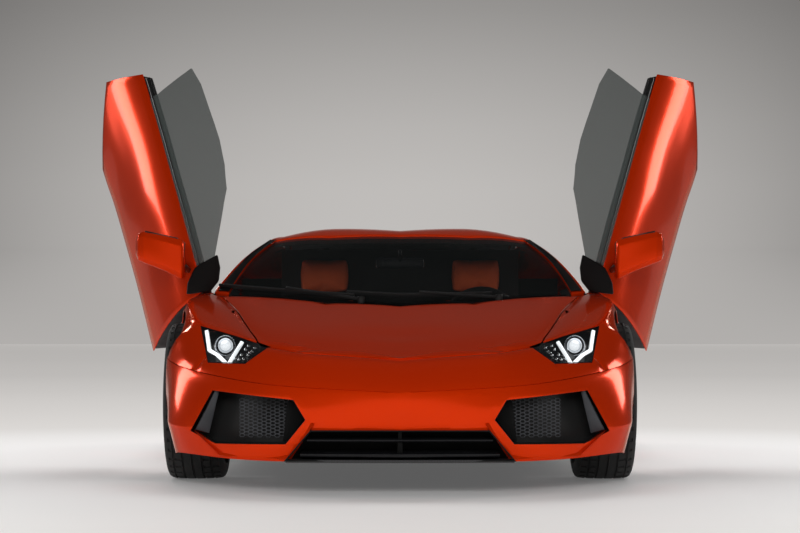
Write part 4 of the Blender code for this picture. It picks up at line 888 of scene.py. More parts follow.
def facing_out(bm: BMesh) -> BMesh:
    """Turns an open sheet's faces away from the car's middle."""
    bmesh.ops.recalc_face_normals(bm, faces=bm.faces)
    middle, scale = Vector((0, 0, 0.45)), Vector((1, 0.3, 1))
    total = sum(f.normal.dot((f.calc_center_median() - middle) * scale) * f.calc_area() for f in bm.faces)
    if total < 0:
        bmesh.ops.reverse_faces(bm, faces=bm.faces)
    bm.normal_update()
    return bm


SKIN = Skin()


def grown(points: Sequence[Point2], margin: float) -> list[Point2]:
    """An outline pushed outwards by margin, or inwards if margin is negative."""
    points = list(points)
    turn = sum(a[0] * b[1] - b[0] * a[1] for a, b in zip(points, points[1:] + points[:1]))
    result = []
    for before, here, after in zip(points[-1:] + points[:-1], points, points[1:] + points[:1]):
        sides = []
        for a, b in ((before, here), (here, after)):
            along = (Vector(b) - Vector(a)).normalized()
            sides.append(Vector((along.y, -along.x)) * math.copysign(1, turn))
        push = (sides[0] + sides[1]) / (1 + sides[0].dot(sides[1]))
        result.append(tuple(Vector(here) + push * margin))
    return result


def front_view(shares: Iterable[Point2], sign: int = 1) -> list[Point2]:
    """Points of a front view, from shares of the half width and height."""
    return [(sign * x * CAR.half_width, z * CAR.height) for x, z in shares]


def side_view(shares: Iterable[Point2]) -> list[Point2]:
    """Points of a side view, from shares of the wheelbase behind the front axle and of the height."""
    return [(CAR.front_axle_y + along * CAR.wheelbase, up * CAR.height) for along, up in shares]


@dataclass(frozen=True)
class Outlines:
    """Openings in the shell, as shares."""

    lamp: Outline = ((0.505, 0.492), (0.590, 0.435), (0.745, 0.438), (0.800, 0.568),
                                (0.640, 0.530))
    intake: Outline = (
        (0.350, 0.252), (0.425, 0.170), (0.700, 0.166), (0.805, 0.205), (0.716, 0.345), (0.395, 0.318))
    duct: Outline = ((-0.330, 0.215), (-0.420, 0.120), (0.420, 0.120), (0.330, 0.215))
    tail: Outline = ((0.430, 0.635), (0.830, 0.615), (0.870, 0.665), (0.430, 0.690))
    plate: Outline = ((-0.400, 0.250), (0.400, 0.250), (0.450, 0.560), (-0.450, 0.560))
    side_intake: Outline = (
        (0.600, 0.440), (0.700, 0.540), (0.690, 0.680), (0.640, 0.790), (0.560, 0.790))
    window: Outline = (
        (0.225, 0.528), (0.565, 0.528), (0.573, 0.780), (0.596, 0.891), (0.553, 0.902), (0.468, 0.903),
        (0.435, 0.902),
        (0.385, 0.892), (0.337, 0.873), (0.280, 0.860), (0.235, 0.800))
    front_reach: Point2 = (-2.60, -1.60)
    rear_reach: Point2 = (1.90, 2.80)


OUTLINES = Outlines()
LAMP_CELLS: list[Cell] = [(FLANK, 1, 4.5), (WINDOW, 2, 4.5)]
TAIL_CELLS: list[Cell] = [(FLANK, 15, 17), (SIDE, 15, 17)]


def front_hole(shares: Sequence[Point2], margin: float = 0.0, sign: int = 1) -> BMesh:
    """A cutter through the nose."""
    return prism(grown(front_view(shares, sign), margin), 1, *OUTLINES.front_reach)


def rear_hole(shares: Sequence[Point2], margin: float = 0.0, sign: int = 1) -> BMesh:
    """A cutter through the tail."""
    return prism(grown(front_view(shares, sign), margin), 1, *OUTLINES.rear_reach)


def arch(axle: Axle, sign: int) -> BMesh:
    """A cutter for one wheel arch."""
    front = axle is Axle.FRONT
    y, radius = (CAR.front_axle_y, CAR.front_radius) if front else (CAR.rear_axle_y, CAR.rear_radius)
    start, end = (sign * CAR.arch_inner_x, y, radius), (sign * (CAR.half_width + CAR.arch_overrun), y, radius)
    return rod(start, end, radius + CAR.arch_clearance, 96)


@dataclass
class Surface:
    """Finds the place of front-view points on the skin."""

    cells: Sequence[Cell]
    eye_y: float = -4.0
    middle_reach: float = 1.9
    tree: BVHTree = field(init=False)

    def __post_init__(self) -> None:
        """Builds the search tree."""
        bm = SKIN.sheet(self.cells, inset=0.0, crease=0.0)
        self.tree = BVHTree.FromBMesh(bm)
        bm.free()

    def at(self, x: float, z: float, depth: float = 0.0) -> Vector:
        """The skin's point behind a front-view point, pushed in by depth."""
        start, way = Vector((x, self.eye_y, z)), Vector((0, 1, 0))
        hit = self.tree.ray_cast(start, way)[0]
        if hit is None:
            hit = self.tree.find_nearest(start + way * self.middle_reach)[0]
        return hit + way * depth


def pan(surface: Surface, outline: Sequence[Point2], wall: float, front: float,
        depth: float) -> BMesh:
    """A closed tray behind an opening in the skin.

    Args:
        surface: the skin round the opening.
        outline: the opening's front view in metres.
        wall: the thickness of the tray's sides and floor.
        front: how far behind the skin the tray starts.
        depth: how deep it is.

    Returns:
        The tray's mesh.
    """
    def ring(margin: float, back: float) -> list[Vector]:
        """The outline on the skin, grown by margin and pushed back."""
        points = grown(outline, margin)
        steps = [k / 8 for k in range(8)]
        return [surface.at(*Vector(a).lerp(Vector(b), share), back)
                for a, b in zip(points, points[1:] + points[:1]) for share in steps]

    return swept([ring(-0.001, depth), ring(-0.001, front), ring(wall, front), ring(wall, depth + wall)])


@dataclass(frozen=True)
class ArchLiner:
    """The black liner of one wheel arch: a thin barrel, cut to the inside of the skin."""

    axle: Axle
    centre: Triple
    radius: float
    reach: Point2
    stations: Point2
    cut_low: Triple
    cut_high: Triple
    wall: float = 0.004
    skin_depth: float = 0.30
    skin_gap: float = 0.010

    def build(self, side: Side) -> None:
        """Makes one side's liner."""
        (inner, outer), bore = self.reach, self.radius - self.wall
        barrel = turned([(self.radius, inner), (self.radius, outer), (bore, outer), (bore, inner)], 96,
                        Matrix.Translation(self.centre))
        inside = SKIN.panel([(strip, *self.stations) for strip in (HEM, SIDE, FLANK)], self.skin_depth,
                            sink=self.skin_gap, crease=0.0)
        barrel = carved(barrel, (block(self.cut_low, self.cut_high), "DIFFERENCE"), (inside, "INTERSECT"))
        fitted(f"arch_liner_{self.axle.value}", barrel, MATT, side, slot="black_trim")


FRONT_LINER = ArchLiner(
    Axle.FRONT, (CAR.front_wheel_x, CAR.front_axle_y, CAR.front_radius), 0.385, (-0.09, 0.120), (2, 9),
    (0.6, -1.8, -0.2), (1.1, -0.8, 0.16))
REAR_LINER = ArchLiner(
    Axle.REAR, (CAR.rear_wheel_x, CAR.rear_axle_y, CAR.rear_radius), 0.409, (-0.12, 0.150), (11, 15),
    (0.5, 0.8, -0.2), (1.1, 2.0, 0.17))


@dataclass
class Shell:
    """The painted panels, the screen and the intakes behind the doors."""

    bevel: float = 0.0012
    wall: float = 0.0045
    lid_inset: float = 0.0045
    lamp_gap: float = 0.004
    roof_wall: float = 0.016
    lining_depth: float = 0.0175
    screen_wall: float = 0.005
    screen_depth: float = 0.003
    band_wall: float = 0.003
    band_inset: float = 0.010
    band_shift: Point2 = (0.010, 0.004)
    throat_depth: float = 0.10
    throat_cells: tuple[Cell, ...] = ((SIDE, 11.08, 12.6), (FLANK, 11.08, 12.6))

    def trimmed(self, bm: BMesh, *cuts: BMesh) -> BMesh:
        """Cuts openings and rounds the edges."""
        bm = carved(bm, *((cut, "DIFFERENCE") for cut in cuts))
        return softened(bm, self.bevel, 2, 35)

    def front_bumper(self) -> None:
        """Nose panel with its lamp, intake and duct openings."""
        bm = SKIN.panel([(HEM, 0, 5), (SIDE, 0, 5), (FLANK, 0, 2.9)], self.wall, centred=True)
        cuts = [front_hole(OUTLINES.duct)]
        for side in Side:
            cuts += [front_hole(OUTLINES.intake, 0, side.value), front_hole(OUTLINES.lamp, 0, side.value),
                     arch(Axle.FRONT, side.value)]
        finished("nose_panel", self.trimmed(bm, *cuts), PAINT,
                 replaces=["front_bumper"])

    def fender(self, side: Side) -> None:
        """Front fender with its lamp notch and arch."""
        bm = SKIN.panel([(HEM, 5, 7), (SIDE, 5, 7), (FLANK, 2.9, 7), (WINDOW, 2.5, 7)], self.wall)
        bm = self.trimmed(bm, front_hole(OUTLINES.lamp), arch(Axle.FRONT, 1))
        fitted("fender", bm, PAINT, side, slot="paint", replaces=["front_fender"])
        FRONT_LINER.build(side)

    def hood(self) -> None:
        """Front lid with its soft ribs and inner frame."""
        cells = [(BONNET_SIDE, 0, 6.5), (INNER_TOP, 0, 6.5)]
        bm = SKIN.panel(cells, self.wall, inset=self.lid_inset, centred=True)
        cuts = [front_hole(OUTLINES.lamp, self.lamp_gap, side.value) for side in Side]
        finished("hood_skin", self.trimmed(bm, *cuts), PAINT, "front_lid",
                 replaces=["front_lid"])
        frame = SKIN.panel([(INNER_TOP, 1.6, 6.5), (BONNET_SIDE, 4.9, 6.5)], 0.012, inset=0.030, sink=0.016,
                           centred=True,
                           crease=0.0)
        finished("hood_frame", softened(frame, 0.003, 2, 40), MATT, "front_lid")

    def roof(self) -> None:
        """Roof with its windscreen pillars, and the screen under its lip."""
        cells = [(PILLAR, 7, 11.5), (OUTER_TOP, 9, 11.5), (INNER_TOP, 9, 11.5)]
        bm = SKIN.panel(cells, self.roof_wall, centred=True)
        finished("roof_skin", self.trimmed(bm), PAINT, replaces=["roof"])
        screen = SKIN.panel([(OUTER_TOP, 7, 9), (INNER_TOP, 7, 9)], self.screen_wall, sink=self.screen_depth,
                            crease=0.02, centred=True)
        finished("screen_pane", screen, SCREEN, replaces=["windscreen"])
        band = SKIN.panel([(PILLAR, 7, 9)], self.band_wall, inset=self.band_inset, sink=-0.0032, crease=0.0,
                          centred=True)
        inward, up = self.band_shift
        for vert in band.verts:
            vert.co += Vector((-math.copysign(inward, vert.co.x), 0, up))
        finished("screen_band", band, MATT)
        cells = [(PILLAR, 7, 11.5), (OUTER_TOP, 8.8, 11.5), (INNER_TOP, 8.8, 11.5)]
        lining = SKIN.panel(cells, 0.004, inset=0.004, sink=self.lining_depth, centred=True)
        finished("roof_lining", lining, BLACK_HIDE)

    def quarter(self, side: Side) -> None:
        """Rear quarter with its sill, intake mouth and window frame."""
        cells = [(HEM, 7, 15), (SIDE, 11, 15), (FLANK, 11, 15), (WINDOW, 8, 15), (PILLAR, 11.5, 15)]
        bm = SKIN.panel(cells, self.wall)
        mouth = prism(side_view(OUTLINES.side_intake), 0, CAR.half_width * 0.8, CAR.half_width * 1.2)
        window = prism(side_view(OUTLINES.window), 0, 0, CAR.half_width)
        bm = self.trimmed(bm, arch(Axle.REAR, 1), mouth, window)
        fitted("quarter", bm, PAINT, side, slot="paint", replaces=["rear_quarter"])
        REAR_LINER.build(side)
        self.throat(side)

    def throat(self, side: Side) -> None:
        """The black walls of the intake behind one door."""
        mouth = side_view(OUTLINES.side_intake)
        walls = carved(SKIN.panel(self.throat_cells, self.throat_depth, sink=0.005, crease=0.0),
                       (prism(grown(mouth, 0.003), 0, 0.7, 1.2), "INTERSECT"),
                       (prism(grown(mouth, -0.004), 0, 0.93, 1.2), "DIFFERENCE"))
        fitted("side_intake", walls, MATT, side, slot="black_trim")

    def rear_bumper(self) -> None:
        """Tail panel with lamp openings and the plate recess."""
        cells = [(strip, 15, 17) for strip in (HEM, SIDE, FLANK, TAIL_TOP)]
        bm = SKIN.panel(cells, self.wall, centred=True)
        cuts = [rear_hole(OUTLINES.plate)] + [rear_hole(OUTLINES.tail, 0, side.value) for side in Side]
        finished("tail_panel", self.trimmed(bm, *cuts), PAINT,
                 replaces=["rear_bumper"])

    def build(self) -> None:
        """Makes every panel."""
        self.front_bumper()
        self.hood()
        self.roof()
        self.rear_bumper()
        for side in Side:
            self.fender(side)
            self.quarter(side)


@dataclass
class Headlamp:
    """One headlamp: bezel, cover, light guides, projector and small diodes."""

    depth: float = 0.050
    rim: float = 0.004
    outer_guide: Outline = ((0.782, 0.622), (0.757, 0.545), (0.720, 0.528), (0.683, 0.499))
    inner_guide: Outline = ((0.625, 0.577), (0.659, 0.510), (0.668, 0.492))
    guide_width: float = 0.015
    guide_height: float = 0.014
    guide_depth: float = 0.018
    cover_wall: float = 0.003
    diode_depth: float = 0.020
    diode: Outline = ((0.0, 0.005), (0.004, 0.004), (0.0075, 0.0), (0.0085, -0.004), (0.0, -0.004))
    lens: Outline = (
        (0.0, 0.012), (0.008, 0.011), (0.016, 0.007), (0.021, 0.0), (0.021, -0.004), (0.0, -0.004))
    bowl: Outline = (
        (0.0, -0.010), (0.014, -0.010), (0.030, 0.004), (0.032, -0.004), (0.014, -0.014), (0.0, -0.014))
    projector: Point2 = (0.694, 0.565)
    projector_depth: float = 0.040
    projector_radius: float = 0.040
    diodes: Outline = (
        (0.594, 0.563), (0.567, 0.555), (0.603, 0.549), (0.576, 0.541), (0.617, 0.528), (0.590, 0.527),
        (0.584, 0.535), (0.640, 0.515), (0.625, 0.510), (0.606, 0.512))

    def build(self, side: Side) -> None:
        """Makes one side's lamp."""
        surface = Surface(LAMP_CELLS)
        bezel = SKIN.panel(LAMP_CELLS, self.depth, inset=0.0, sink=0.0015, crease=0.0)
        hollow = SKIN.panel(LAMP_CELLS, self.depth + 0.006, inset=0.0, sink=-0.010, crease=0.0)
        hollow = carved(hollow, (front_hole(OUTLINES.lamp, -self.rim), "INTERSECT"))
        bezel = carved(bezel, (front_hole(OUTLINES.lamp, -0.0006), "INTERSECT"), (hollow, "DIFFERENCE"))
        fitted("lamp_bezel", bezel, PIANO, side, slot="lamp", replaces=["headlamp"])
        cover = SKIN.panel(LAMP_CELLS, self.cover_wall, inset=0.0, sink=0.0025, crease=0.003)
        cover = carved(cover, (front_hole(OUTLINES.lamp, -self.rim - 0.0005), "INTERSECT"))
        fitted("lamp_cover", cover, CLEAR, side, slot="lamp")
        guides = [
            strip_bar([surface.at(*p, self.guide_depth) for p in path], self.guide_width, self.guide_height,
                      Vector((0, -1, 0)), 0.003)
            for path in (self.outer_guide, self.inner_guide)]
        fitted("lamp_guides", joined(*guides), BULB, side, slot="lamp")
        forward = Matrix.Rotation(math.radians(-90), 4, "Z")
        turn = Matrix.Translation(surface.at(*self.projector, self.projector_depth)) @ forward
        radius = self.projector_radius
        ring = turned([(radius, -0.012), (radius + 0.004, 0.010), (radius, 0.014), (radius - 0.005, 0.004),
                       (radius - 0.007, -0.012)], 48, turn)
        bowl = turned(self.bowl, 48, turn, closed=False)
        fitted("lamp_ring", joined(ring, bowl), CHROME, side, slot="lamp")
        lens = turned(self.lens, 48, turn, closed=False)
        fitted("lamp_lens", lens, BULB, side, slot="lamp")
        dots = [turned(self.diode, 12, Matrix.Translation(surface.at(*point, self.diode_depth)) @ forward,
                       closed=False)
                for point in self.diodes]
        fitted("lamp_diodes", joined(*dots), CHROME, side, slot="lamp")


@dataclass
class Intake:
    """One front intake: black throat, comb mesh, outer vane and the orange lower blade."""

    wall: float = 0.005
    depth: float = 0.140
    mesh_low: Point2 = (0.425, 0.214)
    mesh_high: Point2 = (0.635, 0.372)
    pitch: Point2 = (0.0235, 0.0135)
    blade_outer: Outline = ((0.800, 0.236), (0.690, 0.143), (0.411, 0.137), (0.321, 0.273))
    blade_inner: Outline = ((0.812, 0.236), (0.709, 0.186), (0.434, 0.190), (0.357, 0.285))
    blade_wall: float = 0.012
    throat_start: float = 0.0065
    comb_line: float = 0.0021
    comb_wall: float = 0.006
    comb_centre: Point2 = (0.53, -2.165)
    comb_turn: float = 14.0
    plates: Outline = ((0.362, 0.29), (0.428, 0.200), (0.446, 0.200), (0.428, 0.355),
                                  (0.404, 0.352))
    plates_y: Point2 = (-2.225, -2.195)
    vane: tuple[tuple[Triple, ...], ...] = (
        ((0.712, 0.398, 0.006), (0.700, 0.392, 0.030), (0.704, 0.388, 0.055), (0.718, 0.392, 0.020)),
        ((0.760, 0.300, 0.006), (0.722, 0.300, 0.050), (0.728, 0.300, 0.075), (0.766, 0.300, 0.020)),
        ((0.794, 0.240, 0.006), (0.742, 0.224, 0.060), (0.748, 0.220, 0.085), (0.800, 0.236, 0.020)))

    def comb(self) -> BMesh:
        """A plate of flattened hexagonal cells."""
        bm = bmesh.new()
        wide, high = self.pitch
        columns = int((self.mesh_high[0] - self.mesh_low[0]) / (wide * 0.75))
        rows = int((self.mesh_high[1] - self.mesh_low[1]) / high)
        flat = Matrix.Diagonal((1, 1, high / wide * 1.155, 1))
        upright = Matrix.Rotation(math.radians(90), 4, "X") @ Matrix.Rotation(math.radians(90), 4, "Z")
        for column in range(columns):
            for row in range(rows):
                x = self.mesh_low[0] + wide * 0.75 * (column + 0.5)
                z = self.mesh_low[1] + high * (row + 0.5 + 0.5 * (column % 2))
                place = Matrix.Translation((x, 0, z)) @ flat @ upright
                bmesh.ops.create_circle(bm, cap_ends=True, segments=6, radius=wide / 2, matrix=place)
        bmesh.ops.remove_doubles(bm, verts=bm.verts, dist=0.0012)
        cells = list(bm.faces)
        bmesh.ops.inset_individual(bm, faces=cells, thickness=self.comb_line)
        bmesh.ops.delete(bm, geom=cells, context="FACES")
        made = bmesh.ops.extrude_face_region(bm, geom=bm.faces[:])
        moved = [v for v in made["geom"] if isinstance(v, BMVert)]
        bmesh.ops.translate(bm, verts=moved, vec=(0, self.comb_wall, 0))
        bmesh.ops.recalc_face_normals(bm, faces=bm.faces)
        return bm

    def build(self, side: Side) -> None:
        """Makes one side's intake."""
        cells = [(HEM, 0, 4.2), (SIDE, 0, 4.2)]
        surface = Surface(cells)
        throat = pan(surface, front_view(OUTLINES.intake), self.wall, self.throat_start, self.depth)
        finished(f"intake_throat_{side.label}", sided(throat, side), BLACK,
                 replaces=["front_grille"])
        comb = self.comb()
        x, y = self.comb_centre
        tilt = Matrix.Translation((x, y, 0)) @ Matrix.Rotation(math.radians(self.comb_turn), 4, "Z")
        comb.transform(tilt @ Matrix.Translation((-x, 0, 0)))
        fitted("intake_comb", comb, GREY, side, slot="black_trim")
        plates = prism(self.plates, 1, *self.plates_y, 0.003)
        fitted("intake_plates", plates, MATT, side, slot="black_trim")
        vane = swept([[surface.at(*corner) for corner in ring] for ring in self.vane], 0.003)
        fitted("intake_vane", vane, GREY, side, slot="black_trim")
        rings = []
        for outer, inner in zip(self.blade_outer, self.blade_inner):
            edge, back = surface.at(*outer, -0.020), surface.at(*inner, 0.038)
            drop = (Vector((edge.x, 0, edge.z)) - Vector((back.x, 0, back.z))).normalized() * self.blade_wall
            rings.append([edge, back, back + drop + Vector((0, 0.02, 0)),
                          edge + Vector((0, 0.030, 0)) + drop * 0.1])
        fitted("intake_blade", swept(rings, 0.0025), PAINT, side, slot="paint")


@dataclass
class CentreDuct:
    """The low black duct between the intakes, with two vanes, a small pylon and the lip below."""

    mouth_y: float = -2.372
    floor_y: float = -2.20
    floor_wall: float = 0.015
    pylon: Outline = ((-0.012, 0.150), (0.012, 0.150), (0.006, 0.248), (-0.006, 0.248))
    pylon_y: Point2 = (-2.350, -2.25)
    upper: Outline = ((-2.372, 0.213), (-2.26, 0.222), (-2.26, 0.206), (-2.366, 0.204))
    upper_across: tuple[float, ...] = (-0.35, -0.18, 0, 0.18, 0.35)
    lower: Outline = ((-2.392, 0.160), (-2.24, 0.172), (-2.24, 0.150), (-2.386, 0.148))
    lower_across: tuple[float, ...] = (-0.375, -0.19, 0, 0.19, 0.375)
    lip: Outline = ((-2.385, 0.138), (-2.10, 0.142), (-2.10, 0.128), (-2.378, 0.126))
    lip_across: tuple[float, ...] = (-0.43, -0.32, -0.16, 0, 0.16, 0.32, 0.43)

    def bar(self, section: Sequence[Point2], across: Sequence[float], sweep: float, power: int,
            bevel: float) -> BMesh:
        """A bar across the nose whose front edge runs back towards its ends.

        Args:
            section: (y, z) of its upper front, upper rear, lower rear and lower front.
            across: the x of its stations.
            sweep: how far the front edge runs back, for 1 m from the middle.
            power: 1 for a straight run and 2 for a bowed one.
            bevel: the rounding of its edges.

        Returns:
            The bar's mesh.
        """
        front, back, back_low, front_low = section
        rings = []
        for x in across:
            run = abs(x) ** power * sweep
            rings.append([Vector((x, front[0] + run, front[1])), Vector((x, *back)), Vector((x, *back_low)),
                          Vector((x, front_low[0] + run, front_low[1]))])
        return swept(rings, bevel)

    def build(self) -> None:
        """Makes the duct, its vanes and the lip."""
        outline = front_view(OUTLINES.duct)
        hollow = prism(grown(outline, -0.001), 1, -2.6, self.floor_y - self.floor_wall)
        throat = carved(prism(grown(outline, 0.004), 1, self.mouth_y, self.floor_y), (hollow, "DIFFERENCE"))
        upper = self.bar(self.upper, self.upper_across, 0.06, 1, 0.002)
        lower = self.bar(self.lower, self.lower_across, 0.08, 1, 0.002)
        pylon = prism(self.pylon, 1, *self.pylon_y, 0.002)
        finished("centre_duct", joined(throat, pylon), MATT,
                 replaces=["front_grille"])
        finished("duct_vanes", joined(upper, lower), PIANO)
        lip = self.bar(self.lip, self.lip_across, 0.12, 2, 0.003)
        finished("nose_splitter", lip, CARBON)


@dataclass
class Door:
    """A raised scissor door: skin, inner card, glass, seals, hinge cover and mirror."""

    cells: tuple[Cell, ...] = ((SIDE, 7, 11), (FLANK, 7, 11))
    inset: float = 0.0075
    skin_wall: float = 0.006
    card_wall: float = 0.064
    card_depth: float = 0.0064
    hinge_gap: float = 0.0003
    hinge_reach: float = 0.030
    hinge_radius: float = 0.026
    pane_wall: float = 0.004
    pane_inset: float = 0.0113
    belt: Point2 = (7.05, 10.90)
    belt_steps: int = 24
    sail_y: Point2 = (-0.905, -0.880)
    sail_corners: Outline = (
        (0.914, 0.908), (0.876, 0.933), (0.812, 0.968), (0.800, 0.909), (0.806, 0.850), (0.843, 0.803),
        (0.950, 0.790), (0.945, 0.841))
    mirror_centre: Vector = Vector((1.020, -0.640, 0.870))
    mirror_sections: tuple[tuple[float, ...], ...] = (
        (1.173, -0.018, 0.022, 0.966, 1.034), (1.160, -0.042, 0.046, 0.940, 1.060),
        (1.135, -0.056, 0.058, 0.930, 1.067), (1.040, -0.062, 0.062, 0.893, 1.048),
        (0.966, -0.062, 0.062, 0.857, 1.031), (0.956, -0.050, 0.052, 0.866, 1.020))
    mirror_round_share: float = 0.16
    mirror_chamfers: Point2 = (0.014, 0.010)
    stalk_root: Point2 = (0.985, 0.930)
    face_corners: Outline = ((0.985, 1.010), (0.985, 1.040), (1.130, 1.072), (1.130, 1.052))
    face_reach: Point2 = (-0.042, 0.046)

    def place(self, name: str, bm: BMesh, finish: Finish, side: Side, **options: object) -> None:
        """Raises a piece modelled shut and hangs it on the door's body."""
        bm.transform(CAR.opened())
        fitted(name, bm, finish, side, body=f"door_{side.label}", **options)

    def build(self, side: Side) -> None:
        """Makes one door."""
        shell = softened(SKIN.panel(self.cells, self.skin_wall, inset=self.inset), 0.0015, 2, 35)
        self.place("door_skin", shell, PAINT, side, slot="paint", replaces=["door"])
        card = SKIN.panel(self.cells, self.card_wall, inset=self.inset + 0.006, sink=self.card_depth,
                          crease=0.0)
        self.place("door_card", softened(card, 0.006, 3, 40), BLACK_HIDE, side, slot="leather")
        hinge = CAR.hinge + CAR.hinge_axis * self.hinge_gap
        tip = hinge + CAR.hinge_axis * self.hinge_reach
        disc = rod(hinge, tip, self.hinge_radius, 40, bevel=0.003)
        middle = (hinge + tip) / 2
        reach = middle - CAR.hinge_axis.cross(Vector((0, 0.030, 0.090)))
        arm = strip_bar([middle, middle.lerp(reach, 0.5) + Vector((0, 0, 0.004)), reach], 0.034, 0.022,
                        CAR.hinge_axis, 0.004)
        self.place("door_hinge", joined(disc, arm), STEEL, side, slot="steel")
        pane = SKIN.panel([(FLANK, 7, 11), (WINDOW, 7, 11)], self.pane_wall, inset=self.pane_inset,
                          crease=0.02)
        window = prism(grown(side_view(OUTLINES.window), -0.0115), 0, 0, CAR.half_width)
        solid = SKIN.panel(self.cells, 0.075, inset=0.010, sink=-0.0004, crease=0.0)
        pane = carved(pane, (window, "INTERSECT"), (solid, "DIFFERENCE"))
        self.place("door_pane", softened(pane, 0.001, 2, 50), SIDE_GLASS, side, slot="glass",
                   replaces=["door_glass"])
        start, end = self.belt
        line = [SKIN.line("shoulder", start + k * (end - start) / self.belt_steps)
                for k in range(self.belt_steps + 1)]
        up = Vector((0, 0, 1))
        seal = strip_bar([p + Vector((-0.012, 0, 0.003)) for p in line], 0.016, 0.010, up, 0.002)
        self.place("belt_seal", seal, BLACK, side, slot="black_trim")
        bright = strip_bar([p + Vector((-0.021, 0, 0.006)) for p in line], 0.004, 0.010, up, 0.001)
        self.place("belt_trim", bright, STEEL, side, slot="steel")
        self.sail(side)
        self.mirror(side)

    def sail(self, side: Side) -> None:
        """The black cover at the door's front corner."""
        cover = prism(self.sail_corners, 1, *self.sail_y, 0.008, 3)
        cover.transform(CAR.opened().inverted())
        self.place("door_sail", cover, MATT, side, slot="black_trim")

    def mirror(self, side: Side) -> None:
        """The wedge-shaped mirror and its stalk, set out as they stand on the raised door."""
        raised = CAR.opened()
        back = raised.inverted()
        y = (raised @ self.mirror_centre).y
        sections = []
        chamfer, rear_chamfer = self.mirror_chamfers
        for x, front, rear, low, high in self.mirror_sections:
            rise = (high - low) * self.mirror_round_share
            corners = [(front, low + rise), (front + chamfer, low), (rear - rear_chamfer, low),
                       (rear, low + rise),
                       (rear, high - rise), (rear - rear_chamfer, high), (front + chamfer, high),
                       (front, high - rise)]
            sections.append([back @ Vector((x, y + across, z)) for across, z in corners])
        self.place("mirror_shell", swept(sections, 0.004, 3), PAINT, side, slot="paint",
                   replaces=["mirror"])
        foot = SKIN.line("shoulder", 7.5).lerp(SKIN.line("crease", 7.5), 0.30)
        root = back @ Vector((self.stalk_root[0], y, self.stalk_root[1]))
        path = [root, root.lerp(foot, 0.5) + Vector((0, 0, 0.008)), foot]
        stalk = strip_bar(path, 0.060, 0.024, Vector((0, 0, 1)), 0.006)
        self.place("mirror_stalk", stalk, BLACK, side, slot="black_trim")
        start, end = self.face_reach
        face = prism(self.face_corners, 1, y + start, y + end, 0.002, 2)
        face.transform(back)
        self.place("mirror_face", face, MIRROR, side)


